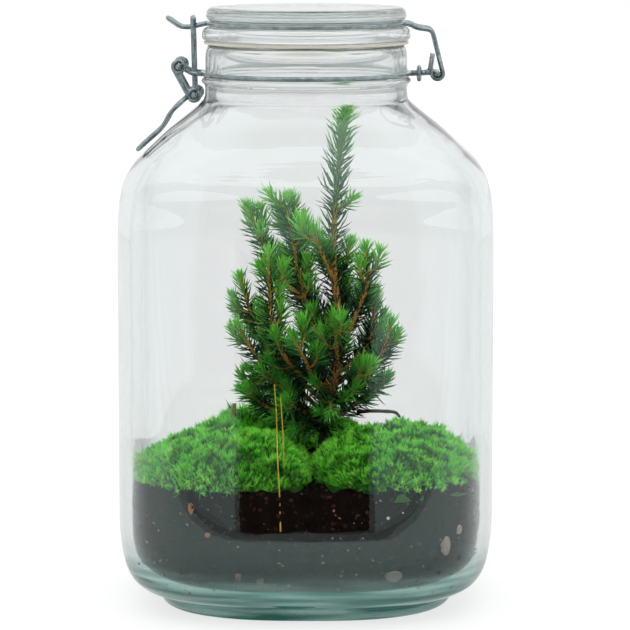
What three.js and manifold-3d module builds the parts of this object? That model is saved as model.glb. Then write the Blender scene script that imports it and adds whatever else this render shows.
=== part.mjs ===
// A clip-top glass jar planted as a terrarium: soil, three cushions of moss and one dwarf spruce.
// Millimetres, +Z up. The origin is the middle of the foot, the clasp is towards -X, the hinge towards +X.

import * as THREE from "three";
import { mergeVertices } from "three/addons/utils/BufferGeometryUtils.js";
import Module from "manifold-3d";

const wasm = await Module();
wasm.setup();

// Driving dimensions
const CLEARANCE = 0.3; // between pieces that touch
const AROUND = 32; // facets round the jar, the soil and the lid
const BODY_HALF = 90; // half the body's width across its flat sides
const WALL = 5.5;
const FOOT_HALF = 69.5;
const NECK_RADIUS = 48.5;
const MOUTH_RADIUS = 43.2;
const BEAD_RADIUS = 50.3; // the ridge that holds the neck wire up
const RIM_HEIGHT = 267;
const GASKET_THICKNESS = 1.2;
const FLANGE_RADIUS = 50.1;
const PLUG_RADIUS = 40.5;
const GROOVE_RADIUS = 45.6; // the lid's groove, where its wire lies
const LID_CEILING = 276; // the top of the lid's hollow underside
const LID_TOP = 285;

const WIRE_RADIUS = 1.1;
const WIRE_SIDES = 6;
const EYE_RADIUS = 2.6; // a wire eye or hook, at the middle of its wire
const NECK_WIRE_HEIGHT = 253.1;
const BAIL_HEIGHT = 277;
const BAIL_RADIUS = 47;
const LEVER_PIVOT = [-60.6, 256.9]; // x and z
const LINK_PIVOT = [-53.3, 243.3];
const LINK_TOP = [-54.2, 279.8];
const HINGE_AXIS = [62.8, 253.5];
const TONGUE_LANE = 3.4; // how far each of a pair of wires lies from the jar's middle plane
const LINK_LANE = 5.9;
const CLASP_ARM_LANE = 8.9;
const LEVER_LANE = 12.6;
const PIN_END = 15.8;
const HINGE_ARM_LANE = 4.6;
const HOOK_LANE = 9.6;
const CROSS_BAR_END = 12.4;

const SOIL_HEIGHT = 62; // at the glass
const SOIL_CROWN = 8; // how much higher it is round the stem
const STEM_FOOT = [8, 0];
const MOSS_RINGS = 8; // rings of tufts from the middle of a cushion to its edge
const NEEDLE_LENGTH = 9.2;
const NEEDLE_RADIUS = 0.55;
const NEEDLE_SPACING = 4; // along a shoot

// Repeatable random numbers from 0 to 1
function seeded(seed) {
  let state = seed;
  return () => {
    state = (state * 16807) % 2147483647;
    return state / 2147483647;
  };
}

// Mesh helpers

function isPeak(row, column) {
  return (row + column) % 2 === 0;
}

// A closed surface over rings of points. A pole closes each end; with no poles the last ring meets the first.
// With peaks, each square is split so that every second point is the top of its own little pyramid.
function ringSurface(rings, firstPole, lastPole, peaks = false) {
  const count = rings[0].length;
  const positions = rings.flat().flatMap((point) => [...point]);
  const faces = [];
  const quadRows = firstPole ? rings.length - 1 : rings.length;
  for (let i = 0; i < quadRows; i++) {
    const low = i * count;
    const high = ((i + 1) % rings.length) * count;
    for (let j = 0; j < count; j++) {
      const next = (j + 1) % count;
      if (peaks && isPeak(i, j)) {
        faces.push(low + j, low + next, high + j, low + next, high + next, high + j);
      } else {
        faces.push(low + j, low + next, high + next, low + j, high + next, high + j);
      }
    }
  }
  if (firstPole) {
    const first = positions.length / 3;
    const top = (rings.length - 1) * count;
    positions.push(...firstPole, ...lastPole);
    for (let j = 0; j < count; j++) {
      const next = (j + 1) % count;
      faces.push(first, next, j, top + j, top + next, first + 1);
    }
  }
  const geometry = new THREE.BufferGeometry();
  geometry.setAttribute("position", new THREE.Float32BufferAttribute(positions, 3));
  geometry.setIndex(faces);
  return geometry;
}

function toSolid(geometry) {
  const bare = geometry.clone();
  bare.deleteAttribute("normal");
  bare.deleteAttribute("uv");
  const merged = mergeVertices(bare, 1e-4);
  return new wasm.Manifold(
    new wasm.Mesh({
      numProp: 3,
      vertProperties: new Float32Array(merged.attributes.position.array),
      triVerts: new Uint32Array(merged.index.array),
    }),
  );
}

function toGeometry(solid) {
  const { vertProperties, triVerts } = solid.getMesh();
  const geometry = new THREE.BufferGeometry();
  geometry.setAttribute("position", new THREE.Float32BufferAttribute(vertProperties, 3));
  geometry.setIndex(new THREE.Uint32BufferAttribute(triVerts, 1));
  return geometry;
}

// The main body of a joined or cut solid: sealed hollows are filled and loose scraps dropped
function mainBody(solid) {
  return solid.decompose().reduce((best, body) => (body.volume() > best.volume() ? body : best));
}

function fuse(geometries) {
  return mainBody(geometries.map(toSolid).reduce((whole, piece) => whole.add(piece)));
}

// The jar's plan: a rounded square with its half-width across the flats. Power 2 is a circle.
function planRadius(half, power, angle) {
  const sum = Math.abs(Math.cos(angle)) ** power + Math.abs(Math.sin(angle)) ** power;
  return half / sum ** (1 / power);
}

function planRing(half, height, power = 2) {
  return Array.from({ length: AROUND }, (_, j) => {
    const angle = (2 * Math.PI * j) / AROUND;
    const radius = planRadius(half, power, angle);
    return [radius * Math.cos(angle), radius * Math.sin(angle), height];
  });
}

function profileRings(profile) {
  return profile.map(([half, height, power]) => planRing(half, height, power));
}

// A wire's route: straight between its points, with every corner bent round
class WireRoute extends THREE.Curve {
  constructor(points) {
    super();
    this.points = points;
  }

  getPoint(t, target = new THREE.Vector3()) {
    const place = t * (this.points.length - 1);
    const index = Math.min(Math.floor(place), this.points.length - 2);
    return target.lerpVectors(this.points[index], this.points[index + 1], place - index);
  }

  getPointAt(u, target) {
    return this.getPoint(u, target);
  }

  getTangentAt(u, target = new THREE.Vector3()) {
    const index = Math.round(u * (this.points.length - 1));
    const here = this.points[index];
    target.set(0, 0, 0);
    if (index > 0) target.add(here.clone().sub(this.points[index - 1]).normalize());
    if (index < this.points.length - 1) {
      target.add(this.points[index + 1].clone().sub(here).normalize());
    }
    return target.normalize();
  }
}

function bent(corners, bend) {
  const points = corners.map(([x, y, z]) => new THREE.Vector3(x, y, z));
  const route = [points[0]];
  for (let i = 1; i < points.length - 1; i++) {
    const back = points[i - 1].clone().sub(points[i]);
    const ahead = points[i + 1].clone().sub(points[i]);
    const cut = Math.min(bend, 0.45 * back.length(), 0.45 * ahead.length());
    const from = points[i].clone().addScaledVector(back.normalize(), cut);
    const to = points[i].clone().addScaledVector(ahead.normalize(), cut);
    route.push(...new THREE.QuadraticBezierCurve3(from, points[i], to).getPoints(2));
  }
  route.push(points.at(-1));
  return route;
}

function wire(points) {
  const section = new THREE.Shape();
  for (let k = 0; k < WIRE_SIDES; k++) {
    const angle = (2 * Math.PI * k) / WIRE_SIDES;
    const corner = [WIRE_RADIUS * Math.cos(angle), WIRE_RADIUS * Math.sin(angle)];
    if (k === 0) section.moveTo(...corner);
    else section.lineTo(...corner);
  }
  return new THREE.ExtrudeGeometry(section, {
    steps: points.length - 1,
    curveSegments: 1,
    extrudePath: new WireRoute(points),
  });
}

function wireRing(radius, height) {
  return new THREE.TorusGeometry(radius, WIRE_RADIUS, WIRE_SIDES, AROUND).translate(0, 0, height);
}

// A turn of wire about a line along Y through x and z, from one angle to another, drifting sideways
function wireEye([x, z], lane, startAngle, endAngle, drift) {
  const steps = Math.ceil(Math.abs(endAngle - startAngle) / (Math.PI / 4));
  const points = [];
  for (let k = 0; k <= steps; k++) {
    const angle = THREE.MathUtils.lerp(startAngle, endAngle, k / steps);
    const y = lane + drift * (k / steps - 0.5);
    points.push(
      new THREE.Vector3(x + EYE_RADIUS * Math.cos(angle), y, z + EYE_RADIUS * Math.sin(angle)),
    );
  }
  return wire(points);
}

// The jar: outside from the middle of the underside up to the rim, then inside down to the floor
const BODY_POWER = 3.2;
const FOOT_POWER = 2.6;
const JAR_OUTSIDE = [
  [54, 3.6, FOOT_POWER],
  [60, 0, FOOT_POWER],
  [FOOT_HALF, 0, FOOT_POWER],
  [71, 3.6, 2.7],
  [77, 6.2, 2.85],
  [83.6, 10.9, 3],
  [88, 20.5, 3.1],
  [BODY_HALF, 36, BODY_POWER],
  [BODY_HALF, 190, BODY_POWER],
  [87.8, 202, 3.1],
  [82.5, 211, 2.9],
  [66, 226.6, 2.4],
  [50, 239.4],
  [NECK_RADIUS, 242],
  [NECK_RADIUS, 248],
  [BEAD_RADIUS, 249],
  [BEAD_RADIUS, 250.6],
  [NECK_RADIUS, 251.6],
  [NECK_RADIUS, RIM_HEIGHT],
];
const INSIDE_HALF = BODY_HALF - WALL;
const FLOOR_RISE = [
  // the inside of the base, from the wall to the floor
  [INSIDE_HALF, 38, BODY_POWER],
  [80.5, 21.5, 3],
  [72, 14, 2.85],
  [60, 11, FOOT_POWER],
];
const FLOOR_HEIGHT = 10.5;
const JAR_INSIDE = [
  [MOUTH_RADIUS, RIM_HEIGHT],
  [MOUTH_RADIUS, 245],
  [45, 239],
  [60.5, 223.6, 2.4],
  [77, 208, 2.9],
  [82.4, 199, 3.1],
  [INSIDE_HALF, 187, BODY_POWER],
  ...FLOOR_RISE,
];

const jar = ringSurface(
  profileRings([...JAR_OUTSIDE, ...JAR_INSIDE]),
  [0, 0, 4.8],
  [0, 0, FLOOR_HEIGHT],
);

// The lid, from its hollow underside round the plug, flange, groove and rim to its top
const gasketBottom = RIM_HEIGHT + CLEARANCE;
const gasketTop = gasketBottom + GASKET_THICKNESS;
const flangeBottom = gasketTop + CLEARANCE;
const lid = ringSurface(
  profileRings([
    [33, LID_CEILING],
    [35.5, 262],
    [38.4, 261],
    [PLUG_RADIUS, 265],
    [PLUG_RADIUS, flangeBottom],
    [FLANGE_RADIUS, flangeBottom],
    [FLANGE_RADIUS, 273.4],
    [48.4, 275.3],
    [GROOVE_RADIUS, 275.5],
    [GROOVE_RADIUS, 278.5],
    [47.6, 279],
    [48.3, 281.6],
    [46.8, 284.4],
    [44, LID_TOP],
    [41, LID_TOP - 1],
  ]),
  [0, 0, LID_CEILING + 0.4],
  [0, 0, LID_TOP - 1],
);

// The gasket: a flat ring on the lid's plug
const gasket = ringSurface(
  profileRings([
    [NECK_RADIUS + 0.6, gasketBottom],
    [NECK_RADIUS + 0.6, gasketTop],
    [PLUG_RADIUS + 0.5, gasketTop],
    [PLUG_RADIUS + 0.5, gasketBottom],
  ]),
);

// The wires. Each pair of arms, pins or hooks is made once for each side of the middle plane.
const SIDES = [-1, 1];
const neckWireRadius = NECK_RADIUS + CLEARANCE + WIRE_RADIUS;
const [hingeX, hingeZ] = HINGE_AXIS;

// A point's x on a ring of wire, at a distance from the middle plane
function onRing(radius, lane) {
  return Math.sqrt(radius ** 2 - lane ** 2);
}

const clampPins = SIDES.map((side) => {
  const lane = side * CLASP_ARM_LANE;
  const [x, z] = LEVER_PIVOT;
  const corners = [
    [-onRing(neckWireRadius, lane), lane, NECK_WIRE_HEIGHT],
    [-54.5, lane, NECK_WIRE_HEIGHT + 0.3],
    [x, lane, z],
    [x, side * PIN_END, z],
  ];
  return wire(bent(corners, 1.2));
});
const hingeArms = SIDES.map((side) => {
  const lane = side * HINGE_ARM_LANE;
  return wire(
    bent(
      [
        [onRing(neckWireRadius, lane), lane, NECK_WIRE_HEIGHT],
        [hingeX - 3.6, lane, hingeZ],
        [hingeX - 2.2, lane, 262.4],
      ],
      2,
    ),
  );
});
const crossBar = wire(
  [-CROSS_BAR_END, -HINGE_ARM_LANE, HINGE_ARM_LANE, CROSS_BAR_END].map(
    (y) => new THREE.Vector3(hingeX, y, hingeZ),
  ),
);
const crossBarStubs = SIDES.map((side) =>
  wire([
    new THREE.Vector3(hingeX - 6, side * HINGE_ARM_LANE, hingeZ),
    new THREE.Vector3(hingeX, side * HINGE_ARM_LANE, hingeZ),
  ]),
);
const neckWire = fuse([
  wireRing(neckWireRadius, NECK_WIRE_HEIGHT),
  ...clampPins,
  ...hingeArms,
  crossBar,
  ...crossBarStubs,
]);

// The collar: one flat loop of wire round both hinge arms
const COLLAR_X = 54.1;
const COLLAR_STEPS = 16;
const collarReach = 2 * WIRE_RADIUS + 2 * CLEARANCE;
const collarRings = [];
for (let k = 0; k < COLLAR_STEPS; k++) {
  const angle = (2 * Math.PI * k) / COLLAR_STEPS;
  const shift = Math.sign(Math.round(Math.cos(angle) * 10)) * HINGE_ARM_LANE;
  const outward = new THREE.Vector3(0, Math.cos(angle), Math.sin(angle));
  const centre = outward.clone().multiplyScalar(collarReach);
  centre.add(new THREE.Vector3(COLLAR_X, shift, NECK_WIRE_HEIGHT + 0.1));
  const section = Array.from({ length: WIRE_SIDES }, (_, s) => {
    const turn = (2 * Math.PI * s) / WIRE_SIDES;
    const point = centre.clone().addScaledVector(outward, WIRE_RADIUS * Math.cos(turn));
    point.x -= WIRE_RADIUS * Math.sin(turn);
    return [...point];
  });
  collarRings.push(section);
}
const collar = ringSurface(collarRings);

// The lid's bail: ring, tongue and the two arms that hook round the cross bar
const tongue = wire(
  bent(
    [
      [-onRing(BAIL_RADIUS, TONGUE_LANE), -TONGUE_LANE, BAIL_HEIGHT],
      [-51.5, -TONGUE_LANE, 276.2],
      [-54.5, -TONGUE_LANE, 275.2],
      [-60, -TONGUE_LANE, 275.2],
      [-66.2, -TONGUE_LANE, 279.6],
      [-66.2, TONGUE_LANE, 279.6],
      [-60, TONGUE_LANE, 275.2],
      [-54.5, TONGUE_LANE, 275.2],
      [-51.5, TONGUE_LANE, 276.2],
      [-onRing(BAIL_RADIUS, TONGUE_LANE), TONGUE_LANE, BAIL_HEIGHT],
    ],
    2.4,
  ),
);
const bailArms = SIDES.map((side) => {
  const lane = side * HOOK_LANE;
  const corners = [
    [onRing(BAIL_RADIUS, lane), lane, BAIL_HEIGHT],
    [49.6, lane, BAIL_HEIGHT],
    [52.6, lane, 275.2],
    [60.2, lane, 274.2],
    [hingeX + EYE_RADIUS, lane, hingeZ],
  ];
  return wire(bent(corners, 2.6));
});
const bailHooks = SIDES.map((side) =>
  wireEye(HINGE_AXIS, side * HOOK_LANE, 0.06 * Math.PI, -1.2 * Math.PI, 0),
);
const lidBail = fuse([wireRing(BAIL_RADIUS, BAIL_HEIGHT), tongue, ...bailArms, ...bailHooks]);

// The lever: on each side an eye on the neck wire's pin, an eye for the link's pin, and the handle
const HANDLE_SIDE = [
  [-56.4, 242.6],
  [-64.6, 235.2],
  [-68.6, 227.6],
  [-80.4, 217.2],
];
const handle = wire(
  bent(
    [
      ...HANDLE_SIDE.map(([x, z]) => [x, -LEVER_LANE, z]),
      ...HANDLE_SIDE.toReversed().map(([x, z]) => [x, LEVER_LANE, z]),
    ],
    3,
  ),
);
const EYE_DRIFT = 2.2; // from the start of an eye's turn to its end, so that they pass each other
const EYE_HALF_TURN = 1.1 * Math.PI;
const leverSides = SIDES.flatMap((side) => {
  const lane = side * LEVER_LANE;
  const reach = new THREE.Vector2(...LINK_PIVOT).sub(new THREE.Vector2(...LEVER_PIVOT));
  const square = reach.angle() - Math.PI / 2; // from a pivot to the arm that joins the two eyes
  const [offsetX, offsetZ] = [EYE_RADIUS * Math.cos(square), EYE_RADIUS * Math.sin(square)];
  const arm = wire(
    [LEVER_PIVOT, LINK_PIVOT].map(([x, z]) => new THREE.Vector3(x + offsetX, lane, z + offsetZ)),
  );
  const eyes = [LEVER_PIVOT, LINK_PIVOT].map((pivot) =>
    wireEye(pivot, lane, square - EYE_HALF_TURN, square + EYE_HALF_TURN, side * EYE_DRIFT),
  );
  return [arm, ...eyes];
});
const lever = fuse([handle, ...leverSides]);

// The link: one wire from pin to pin over the tongue
const LINK_SIDE = [
  [LINK_PIVOT[0], PIN_END, LINK_PIVOT[1]],
  [LINK_PIVOT[0], LINK_LANE, LINK_PIVOT[1]],
  [LINK_TOP[0], LINK_LANE, LINK_TOP[1]],
];
const link = wire(bent([...LINK_SIDE, ...LINK_SIDE.toReversed().map(([x, y, z]) => [x, -y, z])], 1.6));

// The soil: it lines the floor and wall, and its top rises to the stem
const soilRandom = seeded(11);

function soilTop(x, y) {
  const fromStem = Math.hypot(x - STEM_FOOT[0], y - STEM_FOOT[1]);
  return SOIL_HEIGHT + SOIL_CROWN * Math.exp(-((fromStem / 34) ** 2)) + Math.sin(x / 9) * Math.cos(y / 8);
}

const soilHalf = INSIDE_HALF - CLEARANCE;
const soilRings = profileRings(
  FLOOR_RISE.toReversed().map(([half, height, power]) => [half - CLEARANCE, height + CLEARANCE, power]),
);
for (const share of [1, 0.97, 0.8, 0.6, 0.4, 0.2]) {
  const ring = planRing(soilHalf * share, 0, share > 0.9 ? BODY_POWER : FOOT_POWER);
  const edgeDrop = share === 1 ? 1.6 : 0;
  soilRings.push(ring.map(([x, y]) => [x, y, soilTop(x, y) - edgeDrop + 0.9 * soilRandom()]));
}
const soilGeometry = ringSurface(
  soilRings,
  [0, 0, FLOOR_HEIGHT + CLEARANCE],
  [0, 0, soilTop(0, 0)],
);

// The moss: cushions that lie on the soil and end at the glass and at each other.
// Within a cushion every second point stands up as a tuft, so that the surface is all small peaks.
const CUSHIONS = [
  // middle, reach along x and y, height of the crown, and the lines that it stays behind (x, y, offset)
  {
    name: "moss_left",
    middle: [-38, -34],
    reach: [48, 50],
    crown: 87.5,
    lines: [
      [1, 0, 2],
      [0, 1, 5],
    ],
    seed: 21,
  },
  {
    name: "moss_right",
    middle: [44, -26],
    reach: [42, 58],
    crown: 88.5,
    lines: [
      [-1, 0, -2.6],
      [-0.45, 0.893, 2],
    ],
    seed: 22,
  },
  {
    name: "moss_back",
    middle: [-22, 42],
    reach: [62, 44],
    crown: 85.5,
    lines: [
      [0, -1, -5.6],
      [0.45, -0.893, -2.6],
    ],
    seed: 23,
  },
];
const STEM_ROOM = 9; // kept free of moss round the stem
const GLASS_ROOM = 0.7; // between moss and glass
const TUFT_RISE = 2.6;

function insideGlass(x, y) {
  const sum = Math.abs(x) ** BODY_POWER + Math.abs(y) ** BODY_POWER;
  return sum ** (1 / BODY_POWER) <= INSIDE_HALF - GLASS_ROOM;
}

function inCushion(cushion, x, y) {
  const { middle, reach, lines } = cushion;
  return (
    ((x - middle[0]) / reach[0]) ** 2 + ((y - middle[1]) / reach[1]) ** 2 <= 1 &&
    insideGlass(x, y) &&
    Math.hypot(x - STEM_FOOT[0], y - STEM_FOOT[1]) >= STEM_ROOM &&
    lines.every(([nx, ny, offset]) => nx * x + ny * y <= offset)
  );
}

// How far a cushion reaches from its middle in a direction
function cushionReach(cushion, angle) {
  let inside = 0;
  let outside = 2 * BODY_HALF;
  for (let step = 0; step < 20; step++) {
    const half = (inside + outside) / 2;
    const x = cushion.middle[0] + half * Math.cos(angle);
    const y = cushion.middle[1] + half * Math.sin(angle);
    if (inCushion(cushion, x, y)) inside = half;
    else outside = half;
  }
  return inside;
}

// The height of a cushion's rounded top, where share is 0 at its middle and 1 at its edge
function cushionHeight(cushion, share) {
  const foot = SOIL_HEIGHT - 1;
  return foot + (cushion.crown - foot) * Math.sqrt(1 - Math.min(share, 1) ** 2.7);
}

const CUSHION_SECTORS = 28;
const MOSS_BOTTOM = SOIL_HEIGHT - 8; // under the soil's top, which then cuts it

function mossCushion(cushion) {
  const random = seeded(cushion.seed);
  const rings = [];
  for (let row = 0; row <= MOSS_RINGS; row++) {
    const share = ((MOSS_RINGS + 1 - Math.max(row, 1)) / MOSS_RINGS) ** 0.8;
    const ring = [];
    for (let j = 0; j < CUSHION_SECTORS; j++) {
      const angle = (2 * Math.PI * (j + 0.3 * (row > 1) * random())) / CUSHION_SECTORS;
      const reach = share * cushionReach(cushion, angle);
      const tuft = isPeak(row, j) ? TUFT_RISE * (0.5 + 0.6 * random()) : -0.6;
      const height = row === 0 ? MOSS_BOTTOM : cushionHeight(cushion, share) + (row === 1 ? 4 : tuft);
      ring.push([
        cushion.middle[0] + reach * Math.cos(angle),
        cushion.middle[1] + reach * Math.sin(angle),
        height,
      ]);
    }
    rings.push(ring);
  }
  return ringSurface(rings, [...cushion.middle, MOSS_BOTTOM], [...cushion.middle, cushion.crown], true);
}

function mossHeightAt(x, y) {
  const heights = CUSHIONS.map((cushion) => {
    const fromMiddle = Math.hypot(x - cushion.middle[0], y - cushion.middle[1]);
    const angle = Math.atan2(y - cushion.middle[1], x - cushion.middle[0]);
    const share = fromMiddle / cushionReach(cushion, angle);
    return share > 1.05 ? 0 : cushionHeight(cushion, share) + TUFT_RISE * 1.3;
  });
  return Math.max(...heights, soilTop(x, y) + 1);
}

// The spruce. Each shoot is a bent line of points from inside its parent to its tip, with its two radii.
const STEM = [
  [8, 0, 48],
  [8, 0, 74],
  [14, 0, 104],
  [17.5, 0, 124],
  [15.6, 0, 140],
  [13.4, 0, 156],
  [13.6, 0, 180],
  [15, 0, 202],
  [17.4, 0, 219],
  [20.2, 0, 236],
];
const SHOOTS = [
  // the shoots seen from the front, from the top down
  [[15, 0, 187], [19.5, -1, 190], [22.8, -2, 194.5]],
  [[13.4, 0, 153], [9, -7, 164], [3.4, -11, 180]],
  [[16, 0, 112], [3.2, -3, 133], [-3.8, -5, 160], [-8.4, -6, 184], [-17.4, -6, 197]],
  [[-3.8, -5, 160], [-5, 3, 174], [-7.4, 8, 194]],
  [[-1, -4, 144], [-15, 4, 158], [-23.4, 8, 176], [-29.4, 9, 189]],
  [[12, 0, 98], [-8, -10, 114], [-15.4, -17, 133], [-17.4, -19, 150], [-17.8, -20, 169]],
  [[10, 0, 92], [-14, 4, 116], [-27, 6, 134], [-34.8, 7, 153]],
  [[9, 0, 84], [-12, -5, 101], [-26, -10, 119], [-35.6, -12, 132]],
  [[13, 0, 99], [4, -14, 108], [-1, -22, 119], [-6, -26, 129]],
  [[17, 0, 120], [23.8, -5, 136], [29.6, -8, 152], [29, -9, 171]],
  [[15, 0, 108], [28, 6, 118], [32.8, 9, 132], [34.4, 10, 146]],
  [[10, 0, 90], [28, -4, 103], [38, -6, 120], [41.6, -7, 134]],
  [[9, 0, 86], [-4, -12, 92], [-8, -23, 99]],
  [[9, 0, 88], [12, -14, 96], [12, -24, 93]],
  [[9, 0, 84], [-14, 3, 96], [-29, 7, 109]],
  [[8, 0, 82], [-16, -2, 90], [-32, -3, 100]],
  // the shoots behind and in front that fill the bush out
  [[15, 0, 116], [6, 14, 130], [-8, 21, 148], [-12, 25, 166]],
  [[16, 0, 128], [18, 10, 142], [19, 19, 158]],
  [[13, 0, 98], [6, 18, 108], [2, 28, 126]],
  [[14, 0, 102], [26, 14, 112], [31, 22, 128]],
  [[9, 0, 88], [-8, 14, 102], [-22, 22, 118], [-26, 25, 134]],
  [[9, 0, 86], [8, 18, 96], [6, 29, 106]],
  [[15, 0, 110], [15, -14, 120], [14, -25, 138]],
  [[11, 0, 94], [22, -14, 102], [28, -22, 116]],
  [[9, 0, 84], [24, 6, 92], [36, 9, 104]],
];
const STEM_RADII = [2.7, 0.9];
const SHOOT_RADII = [1.25, 0.75];
const NEEDLES_START = 18; // a shoot's bare stretch at its root
const STEM_BARE = 52; // the stem's bare stretch, in the soil and above it

function curveOf(points) {
  return new THREE.CatmullRomCurve3(points.map((point) => new THREE.Vector3(...point)));
}

const STEM_SIDES = 5;

function taperedStem(curve, [rootRadius, tipRadius], stretch) {
  const steps = Math.max(3, Math.round(curve.getLength() / stretch));
  const frames = curve.computeFrenetFrames(steps);
  const rings = [];
  for (let i = 0; i <= steps; i++) {
    const centre = curve.getPointAt(i / steps);
    const radius = THREE.MathUtils.lerp(rootRadius, tipRadius, i / steps);
    const ring = [];
    for (let j = 0; j < STEM_SIDES; j++) {
      const angle = (2 * Math.PI * j) / STEM_SIDES;
      const point = centre.clone();
      point.addScaledVector(frames.normals[i], radius * Math.cos(angle));
      point.addScaledVector(frames.binormals[i], radius * Math.sin(angle));
      ring.push([...point]);
    }
    rings.push(ring);
  }
  return ringSurface(rings, [...curve.getPointAt(0)], [...curve.getPointAt(1)]);
}

// A needle: three flat sides from a foot in the stem's heart to a point
function needle(foot, direction, length) {
  const across = new THREE.Vector3(0.31, 0.53, 0.79).cross(direction).normalize();
  const other = direction.clone().cross(across);
  const base = Array.from({ length: 3 }, (_, k) => {
    const angle = (2 * Math.PI * k) / 3;
    const point = foot.clone();
    point.addScaledVector(across, NEEDLE_RADIUS * Math.cos(angle));
    return [...point.addScaledVector(other, NEEDLE_RADIUS * Math.sin(angle))];
  });
  const tip = foot.clone().addScaledVector(direction, length);
  const geometry = new THREE.BufferGeometry();
  geometry.setAttribute("position", new THREE.Float32BufferAttribute([...base.flat(), ...tip], 3));
  geometry.setIndex([0, 2, 1, 0, 1, 3, 1, 2, 3, 2, 0, 3]);
  return geometry;
}

const GOLDEN_ANGLE = 2.39996;
const needleRandom = seeded(5);

function clearOfMoss(point) {
  return point.z > mossHeightAt(point.x, point.y) + 0.6;
}

// The needles of one shoot: a spiral of them up the stem that leans in towards the tip, and a tuft on the tip
function shootNeedles(curve, bare) {
  const length = curve.getLength();
  const frames = curve.computeFrenetFrames(60);
  const needles = [];
  const grow = (along, turn, lean, size) => {
    const index = Math.round((60 * along) / length);
    const foot = curve.getPointAt(along / length);
    const direction = new THREE.Vector3();
    direction.addScaledVector(frames.normals[index], Math.sin(lean) * Math.cos(turn));
    direction.addScaledVector(frames.binormals[index], Math.sin(lean) * Math.sin(turn));
    direction.addScaledVector(frames.tangents[index], Math.cos(lean)).normalize();
    const tip = foot.clone().addScaledVector(direction, size);
    if (clearOfMoss(tip) && clearOfMoss(foot)) needles.push(needle(foot, direction, size));
  };
  let turn = 6 * needleRandom();
  for (let along = bare; along < length - 1.2; along += NEEDLE_SPACING) {
    const toTip = Math.min(1, (length - along) / 14);
    const size = NEEDLE_LENGTH * (0.82 + 0.18 * toTip) * (0.9 + 0.2 * needleRandom());
    turn += GOLDEN_ANGLE;
    grow(along, turn, 0.55 + 0.4 * toTip, size);
  }
  for (let k = 0; k < 4; k++) grow(length - 0.6, turn + k * 1.6, 0.3, NEEDLE_LENGTH * 0.62);
  return needles;
}

const stemCurve = curveOf(STEM);
const shootCurves = SHOOTS.map(curveOf);
const spruce = fuse([
  taperedStem(stemCurve, STEM_RADII, 14),
  ...shootNeedles(stemCurve, STEM_BARE),
  ...shootCurves.flatMap((curve) => [
    taperedStem(curve, SHOOT_RADII, 11),
    ...shootNeedles(curve, Math.min(NEEDLES_START, 0.3 * curve.getLength())),
  ]),
]);

// The hole that the stem stands in, and the solids that meet the soil
const STEM_BOTTOM = STEM[0][2];
const holeRadius = STEM_RADII[0] + 2 * CLEARANCE;
const stemHole = taperedStem(
  curveOf([
    [...STEM_FOOT, STEM_BOTTOM - CLEARANCE],
    [...STEM_FOOT, SOIL_HEIGHT + 18],
  ]),
  [holeRadius, holeRadius],
  14,
);
const soil = toSolid(soilGeometry).subtract(toSolid(stemHole));
const soilLifted = toSolid(soilGeometry.clone().translate(0, 0, CLEARANCE));
const [roomBottom, roomTop] = [40, 120]; // the space between the glass walls, where the moss grows
const roomInGlass = toSolid(
  ringSurface(
    [planRing(soilHalf, roomBottom, BODY_POWER), planRing(soilHalf, roomTop, BODY_POWER)],
    [0, 0, roomBottom],
    [0, 0, roomTop],
  ),
);

// The small dry things: two grass stalks that stand in the left moss, a peg of bark in the moss at the back,
// and a dark twig that lies across the right moss
const STUCK_IN = [
  {
    name: "grass_stalk_1",
    points: [[-12.4, -66, 70], [-12.6, -67, 92], [-13.6, -69, 113]],
    radius: 0.6,
    cushion: "moss_left",
    material: "straw",
  },
  {
    name: "grass_stalk_2",
    points: [[-9.4, -64, 70], [-9.8, -65, 90], [-10.8, -67, 106]],
    radius: 0.6,
    cushion: "moss_left",
    material: "straw",
  },
  {
    name: "bark_peg",
    points: [[-37, 24, 74], [-37, 24.2, 82], [-36.6, 24.5, 89]],
    radius: 1.3,
    cushion: "moss_back",
    material: "bark",
  },
];

// A straight hole round the buried foot of a stuck piece, open at the top
function footHole({ points, radius }) {
  const [foot, middle] = points.map((point) => new THREE.Vector3(...point));
  const way = middle.clone().sub(foot).normalize();
  const ends = [foot.clone().addScaledVector(way, -CLEARANCE), foot.clone().addScaledVector(way, 30)];
  const room = radius + 2.4 * CLEARANCE;
  return taperedStem(curveOf(ends), [room, room], 15);
}

const TWIG_RADIUS = 0.7;
const TWIG = [
  [25, 5, 96],
  [32, 3, 96.6],
  [39, 3, 96.4],
  [44.5, 4, 95.6],
  [46.4, 3, 93.6],
];

// Lowers a piece until it lies on a solid, a clearance above the first point that it meets
function laidOn(geometry, solid) {
  const step = CLEARANCE / 2;
  const lowered = geometry.clone();
  while (toSolid(lowered).intersect(solid).volume() === 0) lowered.translate(0, 0, -step);
  return lowered.translate(0, 0, CLEARANCE);
}

const materials = {
  glass: { color: "#cfe3dc", roughness: 0.05, metalness: 0, transparent: true, opacity: 0.35 },
  rubber: { color: "#b9a88a", roughness: 0.6, metalness: 0 },
  steel: { color: "#8f979b", roughness: 0.35, metalness: 0.9 },
  soil: { color: "#2a211b", roughness: 1, metalness: 0 },
  moss: { color: "#5f9a1e", roughness: 0.95, metalness: 0 },
  spruce: { color: "#2f6b2c", roughness: 0.7, metalness: 0 },
  straw: { color: "#c2ad56", roughness: 0.8, metalness: 0 },
  bark: { color: "#3a2a1c", roughness: 0.9, metalness: 0 },
};

const terrarium = new THREE.Group();

function addPiece(name, shape, material) {
  const geometry = shape.isBufferGeometry ? shape : toGeometry(shape);
  const mesh = new THREE.Mesh(geometry, new THREE.MeshStandardMaterial(materials[material]));
  mesh.name = name;
  terrarium.add(mesh);
}

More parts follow.
